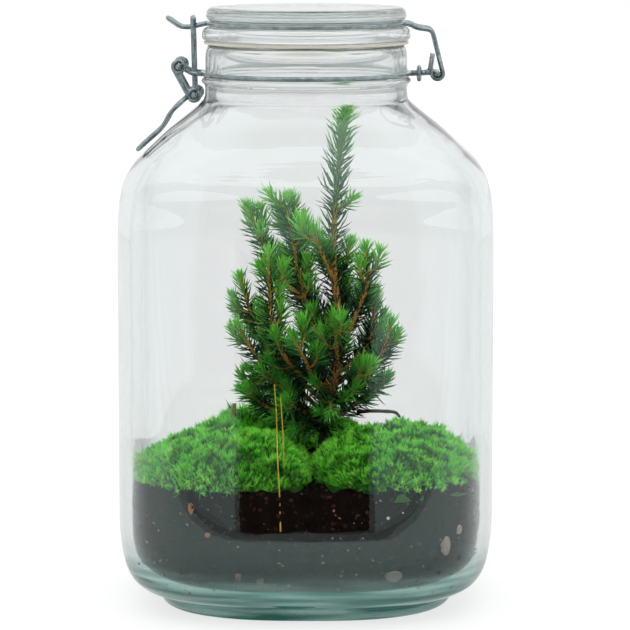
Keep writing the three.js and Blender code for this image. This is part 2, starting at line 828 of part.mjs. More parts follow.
addPiece("jar", jar, "glass");
addPiece("lid", lid, "glass");
addPiece("gasket", gasket, "rubber");
addPiece("neck_wire", neckWire, "steel");
addPiece("wire_collar", collar, "steel");
addPiece("lid_bail", lidBail, "steel");
addPiece("clasp_lever", lever, "steel");
addPiece("clasp_link", link, "steel");
addPiece("soil", soil, "soil");
addPiece("spruce", spruce, "spruce");
for (const cushion of CUSHIONS) {
  const whole = toSolid(mossCushion(cushion)).intersect(roomInGlass).subtract(soilLifted);
  const holes = STUCK_IN.filter((piece) => piece.cushion === cushion.name).map(footHole);
  const moss = mainBody(holes.map(toSolid).reduce((rest, hole) => rest.subtract(hole), whole));
  addPiece(cushion.name, moss, "moss");
  if (cushion.name === "moss_right") {
    const twig = taperedStem(curveOf(TWIG), [TWIG_RADIUS, 0.7 * TWIG_RADIUS], 6);
    addPiece("twig", laidOn(twig, moss), "bark");
  }
}
for (const { name, points, radius, material } of STUCK_IN) {
  addPiece(name, taperedStem(curveOf(points), [radius, 0.75 * radius], 9), material);
}

export default terrarium;
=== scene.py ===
# %% [markdown]
# A glass jar planted as a terrarium.
# The real object is a pressed preserving jar with a hinged lid and a wire clasp. Inside are potting soil,
# three cushions of moss and one dwarf spruce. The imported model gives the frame: where each piece is and how
# large it is. This lesson gives every piece its fine surface and its finish, and leaves its place alone.

import math

import bpy
import numpy as np
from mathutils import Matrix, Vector


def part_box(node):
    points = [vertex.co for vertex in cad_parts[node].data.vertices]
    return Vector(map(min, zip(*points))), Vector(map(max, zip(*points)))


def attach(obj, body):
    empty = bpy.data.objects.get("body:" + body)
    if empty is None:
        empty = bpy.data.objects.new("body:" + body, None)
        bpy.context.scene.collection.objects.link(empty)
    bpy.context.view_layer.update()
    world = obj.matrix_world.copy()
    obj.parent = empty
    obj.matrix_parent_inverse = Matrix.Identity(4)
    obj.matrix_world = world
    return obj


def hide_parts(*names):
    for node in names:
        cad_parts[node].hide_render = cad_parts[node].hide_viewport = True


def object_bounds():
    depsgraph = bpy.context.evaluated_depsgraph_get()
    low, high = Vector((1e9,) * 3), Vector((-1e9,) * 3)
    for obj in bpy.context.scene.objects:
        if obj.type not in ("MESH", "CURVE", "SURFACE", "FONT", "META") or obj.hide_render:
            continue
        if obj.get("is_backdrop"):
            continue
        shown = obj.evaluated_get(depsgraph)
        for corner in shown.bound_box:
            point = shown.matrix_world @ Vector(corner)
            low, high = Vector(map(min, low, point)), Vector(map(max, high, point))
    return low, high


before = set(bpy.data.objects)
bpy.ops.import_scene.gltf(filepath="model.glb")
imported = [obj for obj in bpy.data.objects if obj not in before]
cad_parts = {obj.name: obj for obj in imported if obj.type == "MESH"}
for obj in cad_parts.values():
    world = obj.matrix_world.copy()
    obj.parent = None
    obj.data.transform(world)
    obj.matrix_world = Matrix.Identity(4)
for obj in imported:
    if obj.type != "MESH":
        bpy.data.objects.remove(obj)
cad_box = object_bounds()
print("nodes:", sorted(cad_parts))
print("box of the frame in metres:", [list(corner) for corner in cad_box])

# %% [markdown]
# Shapes are easiest to think about in the maker's own unit, so every shape below is worked out in
# millimetres, and becomes metres only where it is put into Blender. A piece is a table of points and a few
# tables of faces. Whole tables go into the mesh at once, which is far quicker than adding face by face.

# %% From tables of points to a mesh
MM = 0.001


def add_piece(name, shape, material, body="jar_body", replaced=(), smooth=True, values=None):
    """Puts a shape into Blender, lets it ride on its body, and hides the nodes that it stands for.

    shape is (points in mm, list of face tables). values are numbers for each point, by attribute name.
    """
    points, faces = shape
    mesh = bpy.data.meshes.new(name)
    corners = np.concatenate([table.ravel() for table in faces])
    sizes = np.concatenate([np.full(len(table), table.shape[1]) for table in faces])
    mesh.vertices.add(len(points))
    mesh.vertices.foreach_set("co", (points * MM).ravel())
    mesh.loops.add(len(corners))
    mesh.loops.foreach_set("vertex_index", corners)
    mesh.polygons.add(len(sizes))
    mesh.polygons.foreach_set("loop_start", np.cumsum(sizes) - sizes)
    mesh.polygons.foreach_set("use_smooth", np.full(len(sizes), smooth))
    mesh.update(calc_edges=True)
    for title, numbers in (values or {}).items():
        mesh.attributes.new(title, "FLOAT", "POINT").data.foreach_set("value", numbers)
    mesh.materials.append(material)
    made = bpy.data.objects.new(name, mesh)
    bpy.context.scene.collection.objects.link(made)
    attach(made, body)
    if replaced:
        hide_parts(*replaced)
    triangles = int((sizes - 2).sum())
    print(f"{name}: {len(points)} points, {triangles} triangles, stands for {list(replaced)}")


def join(shapes):
    """Several shapes as one: their points in one table, each face table moved on by the points before it."""
    starts = np.cumsum([0] + [len(points) for points, _ in shapes])
    tables = [table + start for (_, faces), start in zip(shapes, starts) for table in faces]
    return np.vstack([points for points, _ in shapes]), tables


# %% [markdown]
# A stack of rings makes the jar, the lid, the soil and the moss, and a circle carried along a path makes
# wires and stems. Both are the same kind of surface: rows of points, each row closed into a ring and joined
# to the next one. It is closed at its ends by a pole, or by joining its last ring to its first.

# %% Surfaces of rings


def steps_round(count):
    """Angles at equal steps round a full circle."""
    return np.linspace(0, 2 * np.pi, count, endpoint=False)


def bands(index):
    """The four-sided faces between neighbouring rows of point numbers, where each row is a ring."""
    low, high = index[:-1], index[1:]
    return np.stack([low, np.roll(low, -1, 1), np.roll(high, -1, 1), high], -1).reshape(-1, 4)


def ring_surface(rings, poles=None):
    """The closed surface over rings[row, column]: each ring is joined to the next, and ends in its pole.

    With no poles the last ring is joined to the first, as on a tyre.
    """
    rows, columns = rings.shape[:2]
    index = np.arange(rows * columns).reshape(rows, columns)
    points = rings.reshape(-1, 3)
    if poles is None:
        return points, [bands(np.vstack([index, index[:1]]))]
    first, last = np.full(columns, len(points)), np.full(columns, len(points) + 1)
    bottom = np.stack([first, np.roll(index[0], -1), index[0]], -1)
    top = np.stack([index[-1], np.roll(index[-1], -1), last], -1)
    return np.vstack([points, poles]), [bands(index), np.vstack([bottom, top])]


def rounded(corners, reach, steps=6):
    """A path with its corners bent round.

    The curve leaves each side `reach` before the corner, or halfway along a short side, and is the parabola
    (1 - t)^2 start + 2 t (1 - t) corner + t^2 end.
    """
    corners = np.asarray(corners, float)
    ways = np.diff(corners, axis=0)
    lengths = np.linalg.norm(ways, axis=1, keepdims=True)
    cut = ways * np.minimum(reach / lengths, 0.5)
    start, end = corners[1:-1] - cut[:-1], corners[1:-1] + cut[1:]
    t = np.linspace(0, 1, steps)[None, :, None]
    bends = (1 - t) ** 2 * start[:, None] + 2 * t * (1 - t) * corners[1:-1, None] + t**2 * end[:, None]
    path = np.vstack([corners[:1], bends.reshape(-1, corners.shape[1]), corners[-1:]])
    moved = np.linalg.norm(np.diff(path, axis=0), axis=1) > 1e-6
    return path[np.r_[True, moved]]


tyre = ring_surface(np.zeros((12, 40, 3)))
print("a tyre of 12 rings with 40 points each has", len(tyre[1][0]), "faces")

# %% [markdown]
# The jar is not round. Its plan is a rounded square that becomes a circle at the neck. The formula
# |x|^p + |y|^p = half^p gives both: p = 2 is a circle, and a larger p squares it up. So each line of the
# jar's profile holds three numbers: half its width across the flats, its height, and p. Blender's Spin tool
# turns a profile too, but only into round shapes, so the rings are worked out here.

# %% The rounded-square plan
BODY_HALF = 90.0
WALL = 5.5
INSIDE_HALF = BODY_HALF - WALL
BODY_POWER = 3.2
FOOT_POWER = 2.6
ROUND = 2.0
NECK_RADIUS = 48.5
RIM_HEIGHT = 267.0
FLOOR_HEIGHT = 10.5


def plan_half(x, y):
    """(|x|^p + |y|^p)^(1/p) with the body's p: half the width of the plan that goes through a point."""
    return (np.abs(x) ** BODY_POWER + np.abs(y) ** BODY_POWER) ** (1 / BODY_POWER)


def plan_rings(profile, around):
    """rings[row, column] of a profile whose rows are (half, height, power).

    At each angle a, the plan reaches half / (|cos a|^p + |sin a|^p)^(1/p).
    """
    half, height, power = (profile[:, i, None] for i in range(3))
    angle = steps_round(around)[None]
    radius = half / (np.abs(np.cos(angle)) ** power + np.abs(np.sin(angle)) ** power) ** (1 / power)
    return np.stack([radius * np.cos(angle), radius * np.sin(angle), height + 0 * angle], -1)


def turned_shape(profile, around=160):
    """A closed shape whose profile starts and ends on the axis."""
    middle = [[0, 0, profile[0, 1]], [0, 0, profile[-1, 1]]]
    return ring_surface(plan_rings(profile[1:-1], around), middle)


print("inside of the jar, across the flats:", 2 * INSIDE_HALF, "mm")

# %% [markdown]
# Materials are built by one small helper that adds a node. It sets the node's own settings first, because
# they decide which sockets are in use, and then sets or links those sockets by name. Colours are written
# as hex and turned linear on the way in. Object coordinates are in metres here, so a pattern whose features
# are s millimetres across has the scale 1 / (s * 0.001).

# %% The helper for materials


def linear(hex_colour):
    """A colour turned linear: c / 12.92 for dark values, else ((c + 0.055) / 1.055) to the power 2.4."""
    srgb = np.array([int(hex_colour[i : i + 2], 16) for i in (1, 3, 5)]) / 255
    rgb = np.where(srgb <= 0.04045, srgb / 12.92, ((srgb + 0.055) / 1.055) ** 2.4)
    return (*rgb.tolist(), 1.0)


def add_node(tree, kind, sockets=None, **settings):
    """One node with its settings and sockets. Sockets go by name, or by number where several share a name.

    A socket that is given a node is linked to that node's first output in use, and one that is given a socket
    is linked to it. A hex colour is turned linear, and any other value is set as it is.
    """
    made = tree.nodes.new("ShaderNode" + kind)
    for name, value in settings.items():
        setattr(made, name, value)
    for key, value in (sockets or {}).items():
        fitting = (socket for number, socket in enumerate(made.inputs) if key in (number, socket.name))
        target = next(socket for socket in fitting if socket.enabled)
        if isinstance(value, bpy.types.Node):
            value = next(socket for socket in value.outputs if socket.enabled)
        if isinstance(value, bpy.types.NodeSocket):
            tree.links.new(value, target)
        else:
            target.default_value = linear(value) if isinstance(value, str) else value
    return made


def new_material(name):
    """An empty material: its node tree, and the Object coordinates in which its patterns are laid out."""
    material = bpy.data.materials.new(name)
    material.use_nodes = True
    tree = material.node_tree
    tree.nodes.clear()
    return material, tree, add_node(tree, "TexCoord").outputs["Object"]


def per_mm(size):
    """The scale of a texture whose features are `size` millimetres across."""
    return 1 / (size * MM)


print("a pattern of 5 mm has the scale", per_mm(5), "and middle grey is", linear("#808080")[0])

# %% [markdown]
# Soda-lime glass, pressed in an iron mould and fire polished. It bends light by an IOR of 1.52. Iron in the
# sand tints it blue-green, which shows most where light runs through much of it. A tinted surface would
# colour thin and thick glass alike, so the tint is inside the glass, as absorption. The thick base also
# takes streaks of a deeper tint where the pressing folded the glass, and paler streaks that are painted
# highlights. Fire polishing leaves slow ripples, which make the reflections wander a little.
#
# Two places are not perfectly clear. The foot is worn from standing, and the outside of the neck and the lid
# has the fine film that wires and hands leave. Both give back a little light of their own, which also keeps
# the many glass walls there from going dark when the renderer stops following a ray.

# %% Glass


def pressed_glass(name, tint, density, ripple_mm, streaks, streaked_from, streaked_at):
    """Clear glass whose tint grows with the way that light goes inside it.

    Its two streak colours set in below the height streaked_from and are full at streaked_at. The clear share
    is the product of two smooth steps: 1 to 0.68 from 28 mm down to 8 mm for the worn foot, and 1 to 0.73 for
    the film, which is the product of three steps by radius and height.
    """
    material, tree, place = new_material(name)
    height = add_node(tree, "SeparateXYZ", {"Vector": place}).outputs["Z"]
    flat = add_node(tree, "VectorMath", {0: place, 1: (1, 1, 0)}, operation="MULTIPLY")
    radius = add_node(tree, "VectorMath", {0: flat}, operation="LENGTH").outputs["Value"]
    steps = {}
    for title, value, start, end, before, after in [
        ("streaked", height, streaked_from, streaked_at, 0.0, 1.0),
        ("folded", height, 18, 5, 0.0, 1.0),
        ("worn", height, 28, 8, 1.0, 0.68),
        ("outside of the neck", radius, 44.6, 46, 0.0, 1.0),
        ("above the shoulder", height, 238, 246, 0.0, 1.0),
        ("below the lid's top", height, 284, 280, 0.0, 1.0),
    ]:
        numbers = {"From Min": start * MM, "From Max": end * MM, "To Min": before, "To Max": after}
        step = add_node(tree, "MapRange", {"Value": value, **numbers}, interpolation_type="SMOOTHSTEP")
        steps[title] = step

    level = add_node(tree, "Mapping", {"Vector": place, "Scale": (1.0, 1.0, 12.0)})
    folds = add_node(tree, "TexNoise", {"Vector": level, "Scale": per_mm(42), "Detail": 0.6})
    share = add_node(tree, "MapRange", {"Value": folds, "From Min": 0.38, "From Max": 0.66})
    streak = add_node(tree, "Mix", {"Factor": share, "A": streaks[0], "B": streaks[1]}, data_type="RGBA")
    tinted = {"Factor": steps["streaked"], "A": "#ffffff", "B": streak}
    colour = add_node(tree, "Mix", tinted, data_type="RGBA")

    slow = {"Vector": place, "Scale": per_mm(ripple_mm), "Detail": 1.0, "Roughness": 0.4}
    ripples = add_node(tree, "TexNoise", slow)
    polished = add_node(tree, "Bump", {"Height": ripples, "Strength": 0.3, "Distance": 0.4 * MM})
    folded = {"Height": folds, "Strength": steps["folded"], "Distance": 2.2 * MM, "Normal": polished}
    pressed = add_node(tree, "Bump", folded)

    film = 1.0
    for title in ("outside of the neck", "above the shoulder", "below the lid's top"):
        film = add_node(tree, "Math", {0: steps[title], 1: film}, operation="MULTIPLY")
    filmed = add_node(tree, "MapRange", {"Value": film, "To Min": 1.0, "To Max": 0.73})
    clear = add_node(tree, "Math", {0: steps["worn"], 1: filmed}, operation="MULTIPLY")

    finish = {"Base Color": colour, "Roughness": 0.0, "IOR": 1.52, "Transmission Weight": clear}
    glass = add_node(tree, "BsdfPrincipled", {**finish, "Specular Tint": "#d2ece7", "Normal": pressed})
    depth = add_node(tree, "VolumeAbsorption", {"Color": tint, "Density": density})
    add_node(tree, "OutputMaterial", {"Surface": glass, "Volume": depth})
    return material


jar_glass = pressed_glass(
    "pressed_soda_lime_glass",
    tint="#b4d2cc",
    density=18.0,
    ripple_mm=24,
    # the deeper streak colour is the iron tint of the thick base, and the paler one is a painted highlight
    streaks=("#1a8073", "#c4f0e8"),
    streaked_from=42,
    streaked_at=6,
)
lid_glass = pressed_glass(
    "pressed_lid_glass",
    tint="#c8dcd8",
    density=10.0,
    ripple_mm=16,
    streaks=("#a2a28c", "#b4b4a2"),
    streaked_from=267.5,
    streaked_at=265.5,
)
print("nodes in the glass:", len(jar_glass.node_tree.nodes))

# %% [markdown]
# The jar is one shape of glass with an outside and an inside. Its profile starts under the base, goes round
# the foot ring, up the wall, over the shoulder and the ridge that carries the neck wire, turns over the rim
# and comes back down the inside to the floor. The corners of that line are the mould maker's dimensions,
# and `rounded` bends them as molten glass does. The shoulder begins in small steps, because even a slight
# kink there would show as a hard edge of light.

# %% The jar
JAR_OUTSIDE = [
    (0, 4.8, FOOT_POWER),
    (54, 3.6, FOOT_POWER),
    (60, 0, FOOT_POWER),
    (69.5, 0, FOOT_POWER),
    (70.6, 1.4, FOOT_POWER),
    (71.6, 5.4, 2.7),
    (73.4, 6.9, 2.8),
    (78.2, 8.2, 2.9),
    (84.2, 12.4, 3.0),
    (88, 21, 3.1),
    (BODY_HALF, 36, BODY_POWER),
    (BODY_HALF, 170, BODY_POWER),
    (BODY_HALF - 0.3, 186, BODY_POWER),
    (BODY_HALF - 1.1, 195.5, 3.15),
    (87.0, 203.5, 3.05),
    (82.5, 211, 2.9),
    (66, 226.6, 2.4),
    (50, 239.4, ROUND),
    (NECK_RADIUS, 242, ROUND),
    (NECK_RADIUS, 248, ROUND),
    (50.3, 249, ROUND),
    (50.3, 250.6, ROUND),
    (NECK_RADIUS, 251.6, ROUND),
    (NECK_RADIUS, RIM_HEIGHT, ROUND),
]
JAR_INSIDE = [
    (43.2, RIM_HEIGHT, ROUND),
    (43.2, 245, ROUND),
    (45, 239, ROUND),
    (60.5, 223.6, 2.4),
    (77, 208, 2.9),
    (81.7, 200.5, 3.0),
    (INSIDE_HALF - 1.5, 192.5, 3.1),
    (INSIDE_HALF - 0.4, 183, BODY_POWER),
    (INSIDE_HALF, 168, BODY_POWER),
]
INSIDE_BASE = [
    (INSIDE_HALF, 36, BODY_POWER),
    (83, 23, 3.0),
    (78, 15, 2.85),
    (67, 11.6, FOOT_POWER),
    (0, FLOOR_HEIGHT, FOOT_POWER),
]
CORNER_REACH = 7.0
jar_profile = rounded(JAR_OUTSIDE + JAR_INSIDE + INSIDE_BASE, CORNER_REACH)
add_piece("jar_of_glass", turned_shape(jar_profile, 192), jar_glass, replaced=["jar"])

# %% [markdown]
# The lid is pressed from the same glass: a disc with a rounded rim, a groove that the wire lies in, a flange
# that rests on the gasket, and a hollow plug that goes down into the neck. It is made as the jar is, and it
# rides on the lid's own body, so that it swings with the hinge.

# %% The lid
PLUG_RADIUS = 40.5
FLANGE_RADIUS, FLANGE_BOTTOM = 50.1, 268.8
GROOVE_RADIUS = 45.6
LID_CORNERS = [
    (0, 276.4),
    (33, 276),
    (35.5, 262),
    (38.4, 261),
    (PLUG_RADIUS, 265),
    (PLUG_RADIUS, FLANGE_BOTTOM),
    (FLANGE_RADIUS, FLANGE_BOTTOM),
    (FLANGE_RADIUS, 273.4),
    (48.4, 275.3),
    (GROOVE_RADIUS, 275.5),
    (GROOVE_RADIUS, 278.5),
    (47.6, 279),
    (48.3, 281.6),
    (46.8, 284.4),
    (44, 285),
    (41, 284),
    (0, 284),
]
lid_profile = rounded([(radius, height, ROUND) for radius, height in LID_CORNERS], 3.0)
add_piece("lid_of_glass", turned_shape(lid_profile), lid_glass, "lid_body", ["lid"])

# %% [markdown]
# The gasket is natural rubber, stamped from sheet. It is dull, pale beige and slightly mottled. A torus would
# be too round for it, so a flat section with small rounds, as worn edges have, is carried round the plug.

# %% The gasket


def natural_rubber(name):
    """Dull beige rubber with cloudy patches a few millimetres across and a fine grain."""
    material, tree, place = new_material(name)
    clouds = add_node(tree, "TexNoise", {"Vector": place, "Scale": per_mm(4), "Detail": 3.0})
    colour = add_node(tree, "Mix", {"Factor": clouds, "A": "#b2ada0", "B": "#cfcabd"}, data_type="RGBA")
    grain = add_node(tree, "TexNoise", {"Vector": place, "Scale": per_mm(0.5)})
    bump = add_node(tree, "Bump", {"Height": grain, "Strength": 0.3, "Distance": 0.1 * MM})
    finish = {"Base Color": colour, "Roughness": 0.6, "IOR": 1.52, "Normal": bump}
    rubber = add_node(tree, "BsdfPrincipled", finish)
    add_node(tree, "OutputMaterial", {"Surface": rubber})
    return material


GASKET_BOTTOM, GASKET_TOP = 267.3, 268.5
gasket_corners = [
    (46, GASKET_BOTTOM, ROUND),
    (49.1, GASKET_BOTTOM, ROUND),
    (49.1, GASKET_TOP, ROUND),
    (41, GASKET_TOP, ROUND),
    (41, GASKET_BOTTOM, ROUND),
    (46, GASKET_BOTTOM, ROUND),
]
gasket_shape = ring_surface(plan_rings(rounded(gasket_corners, 0.4, 4)[:-1], 160))
rubber_sheet = natural_rubber("natural_rubber")
add_piece("gasket_of_rubber", gasket_shape, rubber_sheet, "lid_body", ["gasket"])

# %% [markdown]
# All the metal is one kind of wire: mild steel, drawn to 2.2 mm and galvanised. Zinc is a metal with a blue
# grey of its own. It mirrors softly, rougher in some patches than in others, and drawing leaves scratches.
# The same patches swing its colour from dark to pale, which is painted reflection. Real scratches are too
# fine to show here, so they are drawn 0.3 mm across.

# %% Zinc on drawn wire


def galvanised_wire(name):
    """A metal with patches about 3 mm across, rougher where they are paler, and fine scratches.
    The swing of its colour from dark to pale in these patches is painted reflection.
    """
    material, tree, place = new_material(name)
    patches = add_node(tree, "TexNoise", {"Vector": place, "Scale": per_mm(3), "Detail": 4.0})
    dullness = add_node(tree, "MapRange", {"Value": patches, "To Min": 0.08, "To Max": 0.26})
    # painted reflection: the dark and the pale colour stand in for dark edges and bright highlights
    colour = add_node(tree, "Mix", {"Factor": patches, "A": "#374a4f", "B": "#b8c6c7"}, data_type="RGBA")
    scratches = add_node(tree, "TexNoise", {"Vector": place, "Scale": per_mm(0.3)})
    bump = add_node(tree, "Bump", {"Height": scratches, "Strength": 0.2, "Distance": 0.05 * MM})
    finish = {"Base Color": colour, "Metallic": 1.0, "Roughness": dullness, "Normal": bump}
    metal = add_node(tree, "BsdfPrincipled", finish)
    add_node(tree, "OutputMaterial", {"Surface": metal})
    return material


zinc = galvanised_wire("galvanised_drawn_wire")
print("made", zinc.name)

# %% [markdown]
# A wire is a circle carried along a path. A curve object with a bevel would look the same, but a worked out
# mesh is closed from the start and needs no conversion. The circle must not spin on its way, or the wire
# would look twisted, so its two square directions are worked out first. Wires are bent over a peg, so their
# corners are round, and an eye is a little more than one turn, shifted sideways to pass itself.

# %% Bending wire
WIRE_RADIUS = 1.1
EYE_RADIUS = 2.6


def unit(vectors):
    """Vectors divided by their length."""
    return vectors / np.linalg.norm(vectors, axis=-1, keepdims=True)


def dot(a, b):
    """The sum of the products of the coordinates, row by row."""
    return np.sum(a * b, axis=-1, keepdims=True)


def frames_along(path):
    """The tangent and two square directions at each point of a path, without any twist.

    Square directions are first taken from one fixed vector. The angle by which they turn from point to
    point, beyond the bend of the path itself, is summed up and turned back.
    """
    tangent = unit(np.gradient(path, axis=0))
    side = unit(np.cross(tangent, [0.36, 0.48, 0.8]))
    other = np.cross(tangent, side)
    here, there = tangent[:-1], tangent[1:]
    carried = side[:-1] - dot(there, side[:-1]) / (1 + dot(here, there)) * (here + there)
    turn = np.arctan2(dot(carried, other[1:]), dot(carried, side[1:]))
    angle = np.vstack([[0.0], np.cumsum(turn, axis=0)])
    turned = np.cos(angle) * side + np.sin(angle) * other
    return tangent, turned, np.cross(tangent, turned)


def tube(path, radii, sides=12):
    """A circle of the given radii carried along a path, with its two ends closed."""
    _, side, other = frames_along(path)
    angle = steps_round(sides)[None, :, None]
    circle = np.cos(angle) * side[:, None] + np.sin(angle) * other[:, None]
    radii = np.broadcast_to(radii, len(path))[:, None, None]
    return ring_surface(path[:, None] + radii * circle, path[[0, -1]])


def wire(corners, bend=1.2):
    """A wire along the corners, each bent round from `bend` mm before it."""
    return tube(rounded(corners, bend, 7), WIRE_RADIUS)


def straight_wire(start, end, steps):
    """A wire along a straight line."""
    return tube(np.linspace(start, end, steps), WIRE_RADIUS)


def ring_of_wire(radius, height):
    """A wire bent to a full circle: (R + r cos b) along the angle a, and r sin b upwards."""
    a, b = steps_round(160)[None, :, None], steps_round(12)[:, None, None]
    out = radius + WIRE_RADIUS * np.cos(b)
    rise = height + WIRE_RADIUS * np.sin(b) + 0 * a
    return ring_surface(np.concatenate([out * np.cos(a), out * np.sin(a), rise], -1))


def eye(pivot, lane, start, end, drift):
    """A turn of wire round a line along Y: the circle of the eye, moving sideways by the drift."""
    share = np.linspace(0, 1, 28)
    angle = start + (end - start) * share
    x = pivot[0] + EYE_RADIUS * np.cos(angle)
    z = pivot[1] + EYE_RADIUS * np.sin(angle)
    return tube(np.stack([x, lane + drift * (share - 0.5), z], -1), WIRE_RADIUS)


def on_ring(radius, lane):
    """The x of a ring of wire where it crosses a lane: the other leg of a right triangle."""
    return math.sqrt(radius**2 - lane**2)


print("a wire is", 2 * WIRE_RADIUS, "mm thick, and an eye", 2 * EYE_RADIUS, "mm across to its middle")

# %% [markdown]
# The wires hang together by where they cross. Seen from the front they keep to a few pivots, which are the
# frame's joints. Seen from above they keep to lanes, which are distances from the jar's middle plane, so
# that one wire passes beside the next. The neck wire carries the lever's two pins and the hinge's cross bar.

# %% Neck wire and collar
NECK_WIRE_HEIGHT = 253.1
NECK_WIRE_RADIUS = NECK_RADIUS + 0.3 + WIRE_RADIUS
LEVER_PIVOT = (-60.6, 256.9)
LINK_PIVOT = (-53.3, 243.3)
HINGE_X, HINGE_Z = 62.8, 253.5
TONGUE_LANE, LINK_LANE, CLASP_ARM_LANE, LEVER_LANE, PIN_END = 3.4, 5.9, 8.9, 12.6, 15.8
HINGE_ARM_LANE, HOOK_LANE, CROSS_BAR_END = 4.6, 9.6, 12.4
SIDES = (-1, 1)


def neck_wire():
    """The ring, the lever's two pins, and the hinge's arms, stubs and cross bar."""
    shapes = [ring_of_wire(NECK_WIRE_RADIUS, NECK_WIRE_HEIGHT)]
    bar_ends = [(HINGE_X, side * CROSS_BAR_END, HINGE_Z) for side in SIDES]
    shapes.append(straight_wire(*bar_ends, 9))
    for side in SIDES:
        lane, arm = side * CLASP_ARM_LANE, side * HINGE_ARM_LANE
        x, z = LEVER_PIVOT
        start = (-on_ring(NECK_WIRE_RADIUS, lane), lane, NECK_WIRE_HEIGHT)
        pin = [start, (-54.5, lane, NECK_WIRE_HEIGHT + 0.3), (x, lane, z), (x, side * PIN_END, z)]
        shapes.append(wire(pin))
        foot = (on_ring(NECK_WIRE_RADIUS, arm), arm, NECK_WIRE_HEIGHT)
        upturned = [foot, (HINGE_X - 3.6, arm, HINGE_Z), (HINGE_X - 2.2, arm, 262.4)]
        shapes.append(wire(upturned, 2))
        shapes.append(straight_wire((HINGE_X - 6, arm, HINGE_Z), (HINGE_X, arm, HINGE_Z), 5))
    return join(shapes)


def collar():
    """One flat loop of wire round both hinge arms: a circle pulled apart to reach from arm to arm."""
    angle, turn = steps_round(48)[:, None], steps_round(12)[None]
    shift = np.clip(4 * np.cos(angle), -1, 1) * HINGE_ARM_LANE
    out = 2 * WIRE_RADIUS + 0.6 + WIRE_RADIUS * np.cos(turn)
    x = 54.1 - WIRE_RADIUS * np.sin(turn) + 0 * angle
    y = shift + out * np.cos(angle)
    z = NECK_WIRE_HEIGHT + 0.1 + out * np.sin(angle)
    return ring_surface(np.stack([x, y, z], -1))


add_piece("neck_wire_drawn", neck_wire(), zinc, replaced=["neck_wire"])
add_piece("wire_collar_drawn", collar(), zinc, replaced=["wire_collar"])

# %% [markdown]
# The bail lies in the lid's groove. At the clasp it is drawn out to a tongue, and at the hinge its two arms
# go down and hook round the cross bar, which lets the lid swing right over.

# %% The lid's bail
BAIL_HEIGHT, BAIL_RADIUS = 277.0, 47.0


def there_and_back(side_view, lane):
    """A path seen from the side, run along one lane and back along the lane across the middle plane."""
    there = [(x, -lane, z) for x, z in side_view]
    return there + [(x, lane, z) for x, z in reversed(side_view)]


def lid_bail():
    """The ring in the lid's groove, the tongue at the clasp and the two hooked arms at the hinge."""
    start = -on_ring(BAIL_RADIUS, TONGUE_LANE)
    tongue = [(start, BAIL_HEIGHT), (-51.5, 276.2), (-54.5, 275.2), (-60, 275.2), (-66.2, 279.6)]
    shapes = [ring_of_wire(BAIL_RADIUS, BAIL_HEIGHT), wire(there_and_back(tongue, TONGUE_LANE), 2.4)]
    for lane in (-HOOK_LANE, HOOK_LANE):
        arm = [
            (on_ring(BAIL_RADIUS, lane), lane, BAIL_HEIGHT),
            (49.6, lane, BAIL_HEIGHT),
            (52.6, lane, 275.2),
            (60.2, lane, 274.2),
            (HINGE_X + EYE_RADIUS, lane, HINGE_Z),
        ]
        shapes.append(wire(arm, 2.6))
        shapes.append(eye((HINGE_X, HINGE_Z), lane, 0.06 * math.pi, -1.2 * math.pi, 0))
    return join(shapes)


add_piece("lid_bail_drawn", lid_bail(), zinc, "lid_body", ["lid_bail"])

# %% [markdown]
# The clasp is a lever and a link. The lever turns on the neck wire's pins, with one eye there and one for the
# link on each side. The link reaches up over the tongue. Pushed down, the lever pulls the link tight and goes
# past its dead point, so that the lid stays shut by itself.

# %% Lever and link
LINK_TOP = (-54.2, 279.8)


def clasp_lever():
    """The bent handle, and on each side an arm with an eye at each end."""
    handle = [(-56.4, 242.6), (-64.6, 235.2), (-68.6, 227.6), (-80.4, 217.2)]
    shapes = [wire(there_and_back(handle, LEVER_LANE), 3)]
    reach = np.subtract(LINK_PIVOT, LEVER_PIVOT)
    square = math.atan2(reach[1], reach[0]) - math.pi / 2
    offset = EYE_RADIUS * np.array([math.cos(square), math.sin(square)])
    turn = 1.1 * math.pi
    for side in SIDES:
        lane = side * LEVER_LANE
        (x0, z0), (x1, z1) = LEVER_PIVOT + offset, LINK_PIVOT + offset
        shapes.append(straight_wire((x0, lane, z0), (x1, lane, z1), 9))
        for pivot in (LEVER_PIVOT, LINK_PIVOT):
            shapes.append(eye(pivot, lane, square - turn, square + turn, side * 2.2))
    return join(shapes)


def clasp_link():
    """One wire from pin to pin, over the tongue."""
    (x, z), (top_x, top_z) = LINK_PIVOT, LINK_TOP
    half = [(x, PIN_END, z), (x, LINK_LANE, z), (top_x, LINK_LANE, top_z)]
    return wire(half + [(x, -y, z) for x, y, z in reversed(half)], 1.6)


add_piece("clasp_lever_drawn", clasp_lever(), zinc, "lever_body", ["clasp_lever"])
add_piece("clasp_link_drawn", clasp_link(), zinc, "link_body", ["clasp_link"])

# %% [markdown]
# The soil is potting soil: nearly black peat with brown fibres and fine grit. At the bottom, water has washed
# down a thin layer of pale silt. Peat is matt, so almost nothing mirrors in it.

# %% Peat


